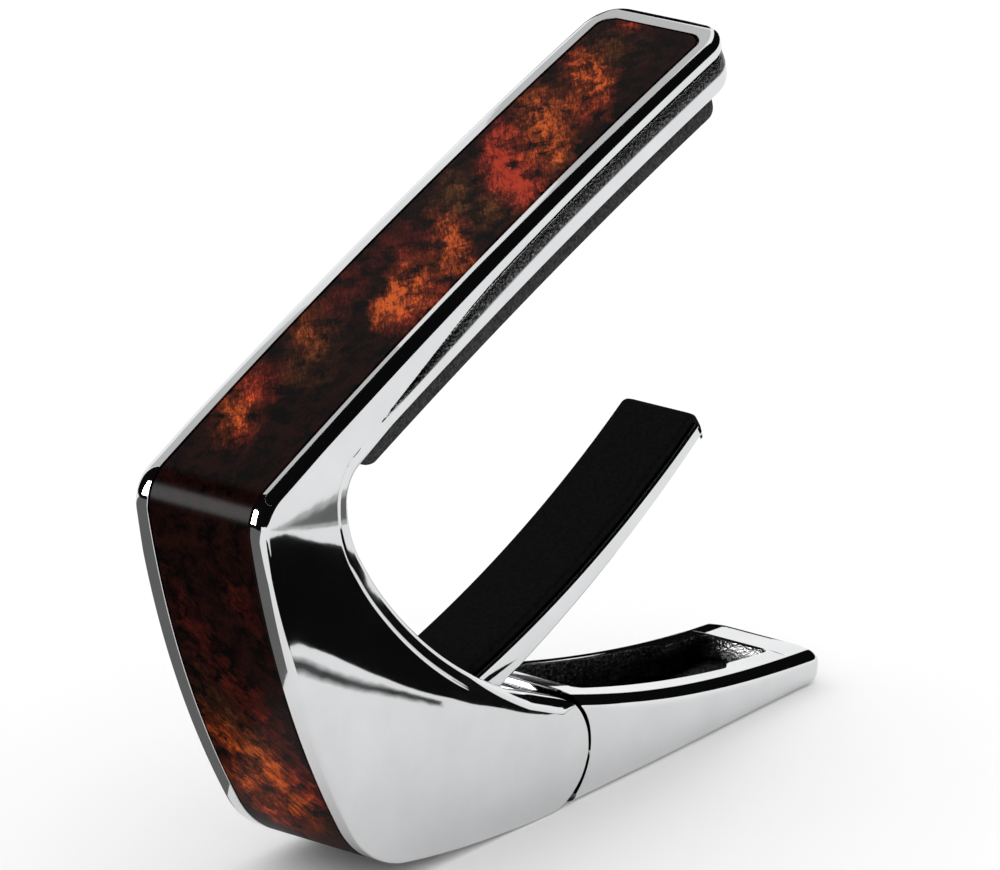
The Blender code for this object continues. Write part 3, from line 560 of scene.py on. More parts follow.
def body_tools():
    """The pad channel, the mechanism pocket and the pivot holes."""
    section = [(-FLANGE_HALF, CHANNEL_TOP), (FLANGE_HALF, CHANNEL_TOP), (FLANGE_HALF, FLANGE_LOW),
               (NECK_HALF, FLANGE_LOW), (NECK_HALF, ARM_DEPTH + 1.0), (-NECK_HALF, ARM_DEPTH + 1.0),
               (-NECK_HALF, FLANGE_LOW), (-FLANGE_HALF, FLANGE_LOW)]
    rings = [ring_under(distance, section)
             for distance in np.linspace(ARM_AT + PAD_FROM, OUTER.length + 6.0, 40)]
    # the channel's walls take the dark cast skin, partly painted shade in the recess
    cast = np.ones((len(rings), len(section)))
    channel = add_object("channel", loft_mesh("channel", rings, values=cast))
    pocket = [(36.0, -1.0), (LEVER_PIVOT[0], -1.0), (24.6, POCKET_FLOOR),
              (13.2, POCKET_FLOOR + 0.2), (11.0, 4.6), (10.2, 11.0), (11.6, 14.6), (15.6, 13.6),
              (17.0, 22.0), (36.0, 22.0)]
    room = disc(LEVER_PIVOT, KNUCKLE_RADIUS + KNUCKLE_ROOM)
    cuts = [channel, prism("pocket", pocket, -POCKET_HALF, POCKET_HALF, 1.0),
            prism("knuckle_room", room, -POCKET_HALF, POCKET_HALF, 1.0)]
    for label, pivot in (("lever", LEVER_PIVOT), ("arm", ARM_PIVOT)):
        cuts.append(prism(f"{label}_hole", disc(pivot, HOLE_RADIUS, 40), HOLE_FROM, SCREW_HOLE_FROM))
        cuts.append(prism(f"{label}_screw_hole", disc(pivot, SCREW_HOLE_RADIUS, 56),
                          SCREW_HOLE_FROM, HALF + 1.0))
    return [("DIFFERENCE", cut) for cut in cuts]


def make_body():
    item = new_piece("body_shell", body_mesh(), "frame", "chrome", "body_frame")
    apply_booleans(item, body_tools())
    finish_piece(item, chrome())


# ---------------------------------------------------------------- inlay

def make_inlay():
    """The wood strip in the body's recess, with a map of distance along it and across it."""
    start, end = RECESS_START + INLAY_START_GAP, OUTER.length - RECESS_TIP - INLAY_TIP_GAP
    distances = np.concatenate([np.linspace(start, end - INLAY_CORNER, 190),
                                end - np.array(quarter(INLAY_CORNER, 10))[:-1][::-1]])
    rings, uv = [], []
    for distance, half in zip(distances, INLAY_HALF - round_off(end - distances, INLAY_CORNER)):
        section = [(-half, INLAY_EDGE)]
        section += [(share * (half - INLAY_EDGE), 0.0) for share in np.linspace(-1.0, 1.0, 27)]
        section += [(half, INLAY_EDGE), (half, INLAY_THICK), (-half, INLAY_THICK)]
        rings.append(ring_under(distance, section))
        uv.append([(distance * MM * 10, y * MM * 10) for y, _ in section])
    item = new_piece("inlay_veneer", loft_mesh("inlay_veneer", rings, uv=uv), "frame",
                     "inlay_wood", "inlay_strip")
    finish_piece(item, inlay_wood(), 40.0)


# ---------------------------------------------------------------- pads

def make_fret_pad():
    """The rubber under the upper arm, hollow over its carrier, with rounded ends."""
    start, end = ARM_AT + PAD_FROM, ARM_AT + PAD_TO
    fine = np.array(quarter(PAD_END_RADIUS, 9))
    distances = np.concatenate([
        start + fine[:-1], np.linspace(start + PAD_END_RADIUS, end - PAD_END_RADIUS, 70),
        (end - fine[:-1])[::-1]])
    rings = []
    for distance in distances:
        pull = float(round_off(min(distance - start, end - distance), PAD_END_RADIUS))
        low, half = PAD_LOW - 0.75 * pull, PAD_HALF - 0.5 * pull
        shoulder = [(half - PAD_LIP, PAD_TOP), (half, PAD_TOP + PAD_LIP)]
        for turn in np.linspace(0.0, math.pi / 2, 8):
            shoulder.append((half - PAD_ROUND + PAD_ROUND * math.cos(turn),
                             low - PAD_ROUND + PAD_ROUND * math.sin(turn)))
        section = [(-SOLE_HALF, PAD_TOP), (-SOLE_HALF, SOLE_LOW - 0.01), (SOLE_HALF, SOLE_LOW - 0.01),
                   (SOLE_HALF, PAD_TOP)] + shoulder
        section += [((half - PAD_ROUND) * (1 - 2 * i / 24), low) for i in range(1, 24)]
        section += [(-y, depth) for y, depth in shoulder[::-1]]
        rings.append(ring_under(distance, section))
    item = new_piece("fret_pad_rubber", loft_mesh("fret_pad_rubber", rings), "fret",
                     "fret_rubber", "fret_pad")
    finish_piece(item, fret_rubber(), 50.0)


def rounded_plate(name, outline, half, edge, squeeze=None, steps=5, middle=9):
    """A side-view outline carried across, with its long edges rounded by moving it inwards.

    squeeze, where given, shifts the outline's points at each distance across.
    """
    outline = np.array(outline, float)
    before, after = np.roll(outline, 1, 0), np.roll(outline, -1, 0)
    run = after - before
    run /= np.linalg.norm(run, axis=1)[:, None]
    area = np.sum(outline[:, 0] * after[:, 1] - after[:, 0] * outline[:, 1])
    normal = np.stack([run[:, 1], -run[:, 0]], -1) * math.copysign(1.0, area)
    levels = [(-half + d, edge - math.sqrt(max(edge ** 2 - (edge - d) ** 2, 0.0)))
              for d in quarter(edge, steps)]
    levels += [(y, 0.0) for y in np.linspace(-half + edge, half - edge, middle)[1:-1]]
    levels += [(-y, inset) for y, inset in levels[:steps + 1][::-1]]
    rings = []
    for y, inset in levels:
        xz = outline - normal * inset
        if squeeze:
            xz = squeeze(xz, y)
        rings.append([(x, y, z) for x, z in xz])
    return loft_mesh(name, rings, values=np.zeros((len(rings), len(outline))))


def fine_outline(*runs):
    """Side-view points without repeats, so that the inward direction is clear everywhere."""
    points = []
    for run in runs:
        for point in run:
            point = (float(point[0]), float(point[1]))
            if not points or math.dist(points[-1], point) > 0.02:
                points.append(point)
    if math.dist(points[0], points[-1]) < 0.02:
        points.pop()
    return points


def swing_spot(forward, drop):
    """A point near the swing arm's tip: forward along the blade and down from its top."""
    point, heading = SWING.at(SWING.length)
    heading = float(heading)
    return (point[0] + forward * math.cos(heading) + drop * math.sin(heading),
            point[1] + forward * math.sin(heading) - drop * math.cos(heading))


def make_neck_pad():
    """The rubber on the swing arm, which folds over the blade's tip in a small pointed lip."""
    top = [beside(SWING, s, -NECK_PAD_TOP) for s in np.linspace(0.0, SWING.length - LIP_FROM, 70)]
    nose = []
    for i in range(1, 9):
        turn = math.pi / 2 * i / 9
        nose.append(swing_spot(-LIP_FROM + (LIP_REACH + LIP_FROM) * math.sin(turn),
                               -NECK_PAD_TOP + LIP_CURL * (1 - math.cos(turn))))
    lip = [swing_spot(LIP_REACH, 0.6), swing_spot(LIP_REACH, 1.1), swing_spot(LIP_REACH * 0.85, 1.6),
           swing_spot(LIP_REACH * 0.6, LIP_DROP - 0.05), swing_spot(LIP_REACH * 0.45, LIP_DROP),
           swing_spot(0.14, LIP_DROP - 0.3), swing_spot(0.1, 1.0), swing_spot(0.1, 0.3),
           swing_spot(0.1, -0.1)]
    under = [beside(SWING, s, -0.1) for s in np.linspace(SWING.length - 0.2, 0.0, 70)]
    outline = fine_outline(top, nose, lip, under)
    tip, heading = SWING.at(SWING.length)
    ahead = np.array([math.cos(float(heading)), math.sin(float(heading))])

    def squeeze(xz, y):
        """Round the pad's front corners in plan."""
        forward = (xz - tip) @ ahead
        reach = LIP_REACH - float(round_off(NECK_PAD_HALF - abs(y), NECK_PAD_CORNER))
        start = LIP_REACH - 2.2
        moved = np.where(forward > start, (forward - start) / (LIP_REACH - start)
                         * (reach - start) + start, forward)
        return xz + (moved - forward)[:, None] * ahead

    mesh = rounded_plate("neck_pad_rubber", outline, NECK_PAD_HALF, NECK_PAD_EDGE, squeeze, 6, 17)
    item = new_piece("neck_pad_rubber", mesh, "swing", "rubber", "neck_pad")
    finish_piece(item, pad_rubber(), 45.0)


# ---------------------------------------------------------------- swing arm

def turned_rectangle(start, end, first, last, half_height):
    """A rectangle that lies along the line between two points, from first to last along it."""
    a, b = np.array(start), np.array(end)
    run = (b - a) / np.linalg.norm(b - a)
    up = np.array([-run[1], run[0]]) * half_height
    corners = (a + run * first - up, a + run * last - up, a + run * last + up, a + run * first + up)
    return [tuple(c) for c in corners]


def make_swing_arm():
    """The blade with rounded edges, its hub and fork, and the room for the spring."""
    under = []
    for share in np.linspace(0.045, 1.0, 60):
        depth = SWING_ROOT + (SWING_TIP - SWING_ROOT) * share ** 0.7
        under.append(beside(SWING, share * SWING.length, depth))
    heel = [(ARM_PIVOT[0] - 1.6, ARM_PIVOT[1] + 3.5), (ARM_PIVOT[0] + 3.9, ARM_PIVOT[1] + 0.8),
            (24.2, 11.2)]
    tip = [swing_spot(0.0, d) for d in (SWING_TIP - 0.1, 1.0, 0.6, 0.3)]
    top = [beside(SWING, s, 0.0) for s in np.linspace(SWING.length, 0.0, 70)]
    outline = fine_outline(heel, under, tip, top)
    blade = rounded_plate("swing_blade", outline, SWING_HALF, SWING_EDGE)
    item = new_piece("swing_blade", blade, "swing", "chrome", "swing_arm")
    cheek = [(10.0, 2.0), (24.5, 2.0), (24.5, 8.5), (21.0, 13.0), (10.0, 13.0)]
    room = [(11.0, 2.0), (25.0, 2.0), (23.6, 10.0), (21.4, 11.6), (18.0, 12.0), (11.0, 14.5)]
    fork = turned_rectangle(ARM_PIVOT, LEVER_PIVOT, 0.0, FORK_REACH, FORK_HALF)
    slot = turned_rectangle(ARM_PIVOT, LEVER_PIVOT, SLOT_FROM, SLOT_TO, SLOT_HALF)
    tools = [("UNION", prism("hub", disc(ARM_PIVOT, HUB_RADIUS), -HUB_HALF, HUB_HALF, 1.0)),
             ("UNION", prism("fork", fork, -HUB_HALF, HUB_HALF, 1.0)),
             ("DIFFERENCE", prism("slot", slot, -PAST_HUB, PAST_HUB, 1.0)),
             ("DIFFERENCE", prism("room", room, -SPRING_ROOM_HALF, SPRING_ROOM_HALF, 1.0)),
             ("DIFFERENCE", prism("cheek_near", cheek, -PAST_HUB, -HUB_HALF)),
             ("DIFFERENCE", prism("cheek_far", cheek, HUB_HALF, PAST_HUB)),
             ("DIFFERENCE", prism("bore", disc(ARM_PIVOT, HOLE_RADIUS, 40), -PAST_HUB, PAST_HUB))]
    apply_booleans(item, tools)
    finish_piece(item, chrome())


# ---------------------------------------------------------------- lever

def lever_outline():
    """Paths along the lever's underside, round its nose and back along its rim, from the seam."""
    nose = Path(LEVER_NOSE_FROM, 0.0, 0.0).arc(1.9, 84.0).arc(1.5, 92.0)
    rim = Path(*nose.points[-1], math.degrees(nose.headings[-1])).arc(165.0, -13.0).measure()
    low_x = LEVER_PIVOT[0] + SEAM_RADIUS * math.cos(SEAM_LOW_ANGLE)
    base = Path(low_x, 0.0, 0.0).line(LEVER_NOSE_FROM - low_x).measure()
    return base, nose.measure(), rim


def lever_stations(base, nose, rim):
    """Distances along the underside, with the points on it and the points above them on the rim."""
    half_nose = nose.length / 2
    low_run, high_run = base.length + half_nose, rim.length + half_nose
    steps = np.array([0.0, 0.02] + quarter(1.0, 5)[1:])
    low_x = base.xz[0][0]
    ends = np.sort(np.concatenate([
        np.linspace(0.0, 4.0, 14, endpoint=False), np.linspace(4.0, low_run - 2.6, 70, endpoint=False),
        low_run - np.array(quarter(2.6, 14)), TROUGH_FROM + steps - low_x, TROUGH_TO - steps - low_x]))
    lows = np.where((ends <= base.length)[:, None], base.at(ends)[0],
                    nose.at(ends - base.length)[0])
    back = high_run * (1 - ends / low_run)
    highs = np.where((back <= half_nose)[:, None], nose.at(nose.length - half_nose + back)[0],
                     rim.at(back - half_nose)[0])
    return ends, lows, highs


def seam_bulge(low, high):
    """How far the seam's hollow arc stands off the straight line between its two ends."""
    high_angle = math.atan2(high[1] - LEVER_PIVOT[1] - 0.5, high[0] - LEVER_PIVOT[0] + 0.2)
    run = np.linspace(0.0, 1.0, 34)
    low_lip, high_lip = 0.10, 0.07
    arc_share = np.clip((run - low_lip) / (1 - low_lip - high_lip), 0.0, 1.0)
    angle = SEAM_LOW_ANGLE + (high_angle - SEAM_LOW_ANGLE) * arc_share
    arc = np.array(LEVER_PIVOT) + SEAM_RADIUS * np.stack([np.cos(angle), np.sin(angle)], -1)
    before, past = run < low_lip, run > 1 - high_lip
    arc[before] = low + (arc[~before][0] - low) * (run[before] / low_lip)[:, None]
    arc[past] = arc[~past][-1] + (high - arc[~past][-1]) * (
        (run[past] - 1 + high_lip) / high_lip)[:, None]
    return run, arc - (low + (high - low) * run[:, None])


def lever_side(ends, lows, highs):
    """Each station's points up the side, their distances from the underside, its span and scale."""
    run, bulge = seam_bulge(lows[0], highs[0])
    rows = []
    for low, high, strength in zip(lows, highs, 1 - smooth(ends / 9.0)):
        span = max(float(np.linalg.norm(high - low)), 1e-6)
        size = min(1.0, span / 3.2)
        d = np.concatenate([np.array(quarter(LEVER_EDGE_LOW, 6)) * size,
                            np.linspace(LEVER_EDGE_LOW * size, span - LEVER_EDGE_HIGH * size, 20)[1:-1],
                            (span - np.array(quarter(LEVER_EDGE_HIGH, 9)) * size)[::-1]])
        share = d / span
        push = np.stack([np.interp(share, run, bulge[:, 0]), np.interp(share, run, bulge[:, 1])], -1)
        rows.append((low + (high - low) * share[:, None] + push * strength, d, [span], [size]))
    return (np.array(column) for column in zip(*rows))


def lever_top(lows, highs, half):
    """The trough and the crowned rim, from the middle outwards: y, x, z and the cast skin, whose dark
    colour paints shade into the trough.
    """
    station_x, (x, z) = lows[:, 0], highs.T
    inside = (station_x > TROUGH_FROM + 0.01) & (station_x < TROUGH_TO - 0.01)
    wall = TROUGH_HALF - (TROUGH_HALF - TROUGH_TIP_HALF) * smooth(
        (station_x - TROUGH_STEP_FROM) / TROUGH_STEP)
    to_end = np.minimum(station_x - TROUGH_FROM, TROUGH_TO - station_x)
    wall = np.where(inside, wall - round_off(to_end, 1.0), TROUGH_HALF - 1.0)
    depth = np.maximum(z - TROUGH_FLOOR, 0.0)
    trough = [(wall * across, depth * down) for across, down in TROUGH_SECTION]
    trough.append((wall, np.full_like(depth, TROUGH_EDGE)))
    columns = []
    for y, drop in trough:
        drop = np.where(inside, drop, 0.0)
        lean = np.clip(drop / np.maximum(depth, 1e-6), 0.0, 1.0)
        # inside the trough the cast skin's near-black colour is painted shade over a real rough casting
        columns.append((np.minimum(y, half - LEVER_EDGE_HIGH - 0.02), x + (station_x - x) * lean,
                        z - drop, np.where(inside & (drop > TROUGH_EDGE * 0.5), 1.0, 0.0)))
    rim = half - LEVER_EDGE_HIGH - wall - TROUGH_EDGE
    for share in RIM_SHARES:
        columns.append((wall + TROUGH_EDGE + rim * share, x, z - RIM_FALL * share ** 2, x * 0.0))
    return np.array(columns).transpose(1, 2, 0)


def lever_mesh():
    """The handle in one skin, from the seam to the nose."""
    ends, lows, highs = lever_stations(*lever_outline())
    side, d, span, size = lever_side(ends, lows, highs)
    to_tip = LEVER_END - (lows[:, 0] + highs[:, 0]) / 2
    taper = smooth((lows[:, 0] - 40.0) / 27.0)
    half = HALF - (HALF - LEVER_TIP_HALF) * taper - round_off(to_tip, 1.6)
    fall = round_off(d / size, LEVER_EDGE_LOW) + round_off((span - d) / size, LEVER_EDGE_HIGH)
    side[:, :, 1] -= RIM_FALL * smooth(d / span * 3 - 2)
    # skin marks the trough's inside for the dark cast skin, which is partly painted shade
    top_y, top_x, top_z, skin = lever_top(lows, highs, half)
    top_xz = np.stack([top_x, top_z], -1)
    low_y = (half - LEVER_EDGE_LOW)[:, None] * np.array([[0.0, 0.35, 0.7]])
    low_xz = np.repeat(lows[:, None, :], 3, 1)
    return mirrored_mesh("lever_shell", np.concatenate([low_xz, side, top_xz[:, ::-1]], 1),
                         np.concatenate([low_y, half[:, None] - fall * size, top_y[:, ::-1]], 1),
                         np.concatenate([np.zeros_like(low_y), np.zeros_like(d), skin[:, ::-1]], 1))


def make_lever():
    """The handle with its trough, the knuckle on its pin, and the tail that drives the swing arm."""
    item = new_piece("lever_shell", lever_mesh(), "lever", "chrome", "squeeze_lever")
    web = [(LEVER_PIVOT[0], 0.4), (TROUGH_FROM + 1.2, 0.4), (TROUGH_FROM + 1.2, 4.6),
           (TROUGH_FROM - 0.6, 7.4), (LEVER_PIVOT[0] + 1.0, 9.2)]
    toward = np.array(ARM_PIVOT) - np.array(LEVER_PIVOT)
    drive = tuple(np.array(LEVER_PIVOT) + toward / np.linalg.norm(toward) * TAIL_REACH)
    tail = turned_rectangle(LEVER_PIVOT, ARM_PIVOT, 0.0, TAIL_REACH, TAIL_HALF_HEIGHT)
    bore = disc(LEVER_PIVOT, HOLE_RADIUS, 40)
    tools = [("UNION", prism("knuckle", disc(LEVER_PIVOT, KNUCKLE_RADIUS), -HUB_HALF, HUB_HALF, 1.0)),
             ("UNION", prism("web", web, -HUB_HALF, HUB_HALF, 1.0)),
             ("UNION", prism("tail", tail, -TAIL_HALF, TAIL_HALF, 1.0)),
             ("UNION", prism("tail_end", disc(drive, TAIL_HALF_HEIGHT, 40), -TAIL_HALF, TAIL_HALF, 1.0)),
             ("DIFFERENCE", prism("drive_hole", disc(drive, DRIVE_HOLE_RADIUS, 32), -3.0, 3.0)),
             ("DIFFERENCE", prism("lever_bore", bore, -PAST_HUB, PAST_HUB))]
    apply_booleans(item, tools)
    finish_piece(item, chrome())


# ---------------------------------------------------------------- materials

def new_material(name):
    material = bpy.data.materials.new(name)
    material.use_nodes = True
    tree = material.node_tree
    return material, tree, tree.nodes["Principled BSDF"]


def feed(tree, item, inputs):
    """Links or sets a node's inputs, whichever each value calls for."""
    for key, value in inputs.items():
        if isinstance(value, bpy.types.NodeSocket):
            tree.links.new(value, item.inputs[key])
        else:
            item.inputs[key].default_value = value


def node(tree, kind, inputs=None, **settings):
    made = tree.nodes.new(kind)
    for key, value in settings.items():
        setattr(made, key, value)
    feed(tree, made, inputs or {})
    return made


def object_space(tree):
    return node(tree, "ShaderNodeTexCoord").outputs["Object"]


def noise(tree, vector, scale, detail=3.0, roughness=0.5):
    return node(tree, "ShaderNodeTexNoise", {"Vector": vector, "Scale": scale, "Detail": detail,
                                             "Roughness": roughness}).outputs["Fac"]


def ramp(tree, factor, *stops):
    made = node(tree, "ShaderNodeValToRGB", {"Fac": factor})
    bar = made.color_ramp
    while len(bar.elements) < len(stops):
        bar.elements.new(0.5)
    for element, (position, colour) in zip(bar.elements, stops):
        element.position = position
        if isinstance(colour, (int, float)):
            colour = (colour, colour, colour)
        element.color = (*colour, 1.0)
    return made.outputs["Color"]


def mix(tree, factor, a, b, blend="MIX"):
    """Two colours mixed; a number stands for a grey and three numbers for a colour."""
    made = node(tree, "ShaderNodeMix", data_type="RGBA", blend_type=blend)
    slots = {s.name: i for i, s in enumerate(made.inputs) if s.enabled}
    inputs = {slots["Factor"]: factor}
    for key, value in (("A", a), ("B", b)):
        if isinstance(value, (int, float)):
            value = (value, value, value)
        inputs[slots[key]] = (*value, 1.0) if isinstance(value, tuple) else value
    feed(tree, made, inputs)
    return next(s for s in made.outputs if s.enabled)


def maths(tree, operation, *values):
    return node(tree, "ShaderNodeMath", dict(enumerate(values)), operation=operation).outputs[0]


def vector_maths(tree, operation, *values):
    return node(tree, "ShaderNodeVectorMath", dict(enumerate(values)), operation=operation).outputs[0]


def turned(tree, vector, turn, scale, spot=(0.0, 0.0)):
    """Texture space moved to a spot on the strip, turned in degrees and stretched."""
    return node(tree, "ShaderNodeMapping",
                {"Vector": vector, "Location": (*spot, 0.0), "Rotation": (0.0, 0.0, math.radians(turn)),
                 "Scale": (*scale, 1.0)}, vector_type="TEXTURE").outputs["Vector"]


def bump(tree, height, strength, distance, **under):
    """A bumped normal, over another one where Normal is given."""
    return node(tree, "ShaderNodeBump", {"Height": height, "Strength": strength,
                                         "Distance": distance, **under}).outputs["Normal"]


@functools.cache
def chrome():
    """Polished plate over a casting: faint waviness, fine pits, and a dull cast skin in hollows whose
    near-black colour is partly painted shade.
    """
    material, tree, shader = new_material("chrome_plate")
    where = object_space(tree)
    cast = node(tree, "ShaderNodeAttribute", attribute_name="finish").outputs["Fac"]
    waves = noise(tree, where, 95.0, 2.0)
    orange_peel = noise(tree, where, 420.0, 2.0)
    grain = noise(tree, where, 3800.0, 3.0, 0.65)
    smudge = noise(tree, where, 160.0, 4.0, 0.6)
    plate = mix(tree, smudge, (0.62, 0.625, 0.635), (0.76, 0.765, 0.77))
    speck = ramp(tree, grain, (0.44, 0.0), (0.62, 0.35), (0.74, 1.0))
    # painted shade: the cast skin's near-black colour darkens the groove and the hollows; its speckle and
    # pits are the real rough casting
    skin = mix(tree, speck, (0.010, 0.010, 0.011), (0.36, 0.36, 0.37))
    gloss = maths(tree, "MULTIPLY_ADD", smudge, 0.06, 0.015)
    swell = bump(tree, waves, 0.16, 0.00022)
    peel = bump(tree, orange_peel, 0.10, 0.00004, Normal=swell)
    pitted = bump(tree, maths(tree, "MULTIPLY", grain, cast), 0.9, 0.00014, Normal=peel)
    feed(tree, shader, {"Base Color": mix(tree, cast, plate, skin), "Metallic": 1.0,
                        "Roughness": mix(tree, cast, gloss, 0.17), "Normal": pitted})
    return material


# The wood's figure. Each flame: place along the strip and across it, length and width (all in mm),
# turn away from the strip's length, and strength. The far edge is across +5.5.
SPREAD = 1.55  # how far each flame reaches, over its own size
RED_FLAMES = [
    (77.1, 3.1, 2.6, 2.0, 30, 1.15), (71.4, 1.0, 2.4, 1.4, 40, 0.55), (90.6, 3.9, 4.5, 1.4, 25, 0.5),
    (88.8, -4.2, 2.2, 1.5, 35, 0.7), (93.0, -4.2, 2.4, 1.5, 30, 0.75), (96.9, 2.0, 4.4, 2.6, 30, 0.5),
    (108.0, -2.0, 3.6, 2.6, 40, 1.1), (110.4, 0.8, 4.2, 1.9, 42, 1.15), (106.6, -4.2, 2.6, 1.6, 40, 0.6),
    (113.2, 3.6, 3.4, 1.1, 38, 0.8), (119.6, -1.8, 3.0, 1.8, 50, 0.6), (132.4, 2.6, 2.0, 1.8, 40, 0.8),
    (125.4, 4.2, 3.0, 1.2, 35, 0.5), (54.5, -3.0, 3.0, 1.6, 30, 0.28), (52.5, 3.6, 3.4, 1.8, 25, 0.25),
    (41.0, -2.2, 4.2, 2.6, 25, 0.42), (46.5, 0.8, 4.5, 2.6, 30, 0.22), (34.2, -4.2, 3.2, 2.0, 30, 0.8),
    (28.8, 2.0, 2.8, 1.9, 30, 0.75), (24.0, -3.5, 3.5, 2.0, 30, 0.35),
]
ORANGE_FLAMES = [
    (73.2, 2.8, 3.4, 2.2, 35, 0.95), (84.2, 3.2, 4.2, 1.6, 35, 0.6), (91.9, -2.2, 4.4, 2.5, 28, 1.2),
    (89.6, -1.4, 2.4, 1.6, 40, 1.0), (99.2, -1.4, 4.6, 1.5, 48, 0.95), (97.0, -3.8, 2.4, 1.4, 40, 0.6),
    (115.4, 0.4, 5.0, 2.8, 40, 0.85), (112.6, -2.4, 3.6, 1.8, 40, 0.6), (120.4, -0.8, 3.4, 2.0, 50, 0.65),
    (123.9, 1.3, 3.6, 1.8, 50, 1.05), (118.6, 3.4, 3.6, 1.6, 35, 0.45), (126.6, 2.8, 2.6, 1.6, 40, 0.5),
    (35.2, -0.4, 4.6, 2.8, 42, 1.05), (32.0, 3.6, 3.0, 2.0, 35, 1.05), (38.8, 4.4, 3.4, 1.6, 25, 0.5),
    (27.2, 0.2, 3.0, 2.2, 30, 0.5), (30.4, -2.0, 3.0, 1.8, 35, 0.55),
]
OLIVE_FLAMES = [
    (82.6, 1.8, 5.2, 2.3, 35, 0.9), (103.6, -1.8, 3.6, 3.0, 40, 0.8), (105.0, 3.0, 4.2, 2.0, 30, 0.75),
    (118.0, 2.8, 4.4, 2.2, 35, 0.7), (128.0, 1.8, 3.4, 3.0, 40, 0.8), (112.0, -4.0, 3.4, 1.6, 30, 0.5),
    (43.2, 2.8, 4.0, 2.2, 25, 0.4), (37.6, 1.0, 5.0, 3.2, 30, 0.6), (29.5, -4.2, 4.0, 1.8, 30, 0.4),
    (74.6, 3.8, 5.0, 1.6, 20, 0.4),
]


def flames(tree, place_on_strip, rows):
    """The summed glow of some flames at a place on the strip."""
    total = None
    for along, across, length, width, turn, strength in rows:
        local = turned(tree, place_on_strip, turn, (length * SPREAD / 100, width * SPREAD / 100),
                       (along / 100, across / 100))
        glow = node(tree, "ShaderNodeTexGradient", {"Vector": local},
                    gradient_type="SPHERICAL").outputs["Fac"]
        if total is None:
            total = maths(tree, "MULTIPLY", glow, strength)
        else:
            total = maths(tree, "MULTIPLY_ADD", glow, strength, total)
    return total


def inlay_wood():
    """Dark figured wood under lacquer: glowing flames broken up by short slanting fibres."""
    material, tree, shader = new_material("figured_wood")
    strip = node(tree, "ShaderNodeUVMap", uv_map="strip").outputs["UV"]
    warp_large = node(tree, "ShaderNodeTexNoise", {"Vector": strip, "Scale": 24.0, "Detail": 2.0})
    warp_small = node(tree, "ShaderNodeTexNoise", {"Vector": strip, "Scale": 110.0, "Detail": 3.0,
                                                   "Roughness": 0.65})
    spot = strip
    for warp, reach in ((warp_large, 0.030), (warp_small, 0.022)):
        centred = vector_maths(tree, "SUBTRACT", warp.outputs["Color"], (0.5, 0.5, 0.5))
        flat = vector_maths(tree, "MULTIPLY", centred, (reach, reach, 0.0))
        spot = vector_maths(tree, "ADD", spot, flat)
    slanted = turned(tree, strip, 40, (4.5, 1.0))
    streaks = noise(tree, slanted, 210.0, 3.0, 0.6)
    fibres = noise(tree, slanted, 620.0, 3.0, 0.7)
    clouds = noise(tree, spot, 60.0, 4.0, 0.62)
    speckle = noise(tree, strip, 900.0, 2.0, 0.7)
    break_up = maths(tree, "MULTIPLY", ramp(tree, clouds, (0.32, 0.08), (0.50, 0.70), (0.70, 1.35)),
                     ramp(tree, streaks, (0.30, 0.50), (0.55, 1.0), (0.75, 1.30)))
    sparkle = maths(tree, "MULTIPLY", ramp(tree, fibres, (0.30, 0.45), (0.72, 1.5)),
                    ramp(tree, speckle, (0.30, 0.70), (0.72, 1.35)))
    break_up = maths(tree, "MULTIPLY", break_up, sparkle)
    dim = maths(tree, "MULTIPLY", ramp(tree, clouds, (0.40, 0.0), (0.62, 1.0)), sparkle)
    colour = mix(tree, dim, (0.0012, 0.0004, 0.0004), (0.0130, 0.0026, 0.0015))
    layers = ((OLIVE_FLAMES, ((0.0, 0.0, 0.0), (0.016, 0.005, 0.0012), (0.090, 0.034, 0.008))),
              (RED_FLAMES, ((0.0, 0.0, 0.0), (0.050, 0.0035, 0.0015), (0.34, 0.026, 0.008))),
              (ORANGE_FLAMES, ((0.0, 0.0, 0.0), (0.070, 0.009, 0.0012), (0.50, 0.078, 0.009))))
    for rows, (none, some, full) in layers:
        glow = maths(tree, "MULTIPLY", flames(tree, spot, rows), break_up)
        light = ramp(tree, glow, (0.05, none), (0.36, some), (1.10, full))
        colour = mix(tree, 1.0, colour, light, "ADD")
    feed(tree, shader, {"Base Color": colour, "Roughness": 0.5, "Specular IOR Level": 0.0,
                        "Normal": bump(tree, fibres, 0.10, 0.00003),
                        "Coat Weight": 0.30, "Coat Roughness": 0.25, "Coat IOR": 1.28})
    return material


def rubber(name, dark, light, roughness, scale, strength):
    """Moulded rubber: a fine grain with dusty patches."""
    material, tree, shader = new_material(name)
    where = object_space(tree)
    grain = noise(tree, where, scale, 3.0, 0.6)
    patches = noise(tree, where, 160.0, 3.0)
    colour = mix(tree, ramp(tree, grain, (0.35, 0.0), (0.75, 1.0)), dark, light)
    dusty = mix(tree, maths(tree, "MULTIPLY", patches, 0.35), colour, light)
    feed(tree, shader, {"Base Color": dusty, "Specular IOR Level": 0.06,
                        "Roughness": maths(tree, "MULTIPLY_ADD", patches, 0.15, roughness - 0.07),
                        "Normal": bump(tree, grain, strength, 0.00006)})
    return material


def fret_rubber():
    return rubber("fret_pad_compound", (0.007, 0.007, 0.0075), (0.060, 0.060, 0.062), 0.75, 4200.0, 0.7)


def pad_rubber():
    return rubber("neck_pad_compound", (0.0008, 0.0008, 0.0009), (0.005, 0.005, 0.0052), 0.85, 3000.0, 0.4)


def brushed(name, dark, light, roughness):
    """Ground steel with fine lines across."""
    material, tree, shader = new_material(name)
    where = object_space(tree)
    squashed = node(tree, "ShaderNodeMapping", {"Vector": where, "Scale": (1.0, 0.06, 1.0)}).outputs[0]
    lines = noise(tree, squashed, 2400.0, 3.0, 0.6)
    feed(tree, shader, {"Base Color": mix(tree, lines, dark, light), "Metallic": 1.0,
                        "Roughness": maths(tree, "MULTIPLY_ADD", lines, 0.18, roughness - 0.09),
                        "Normal": bump(tree, lines, 0.15, 0.00002)})
    return material


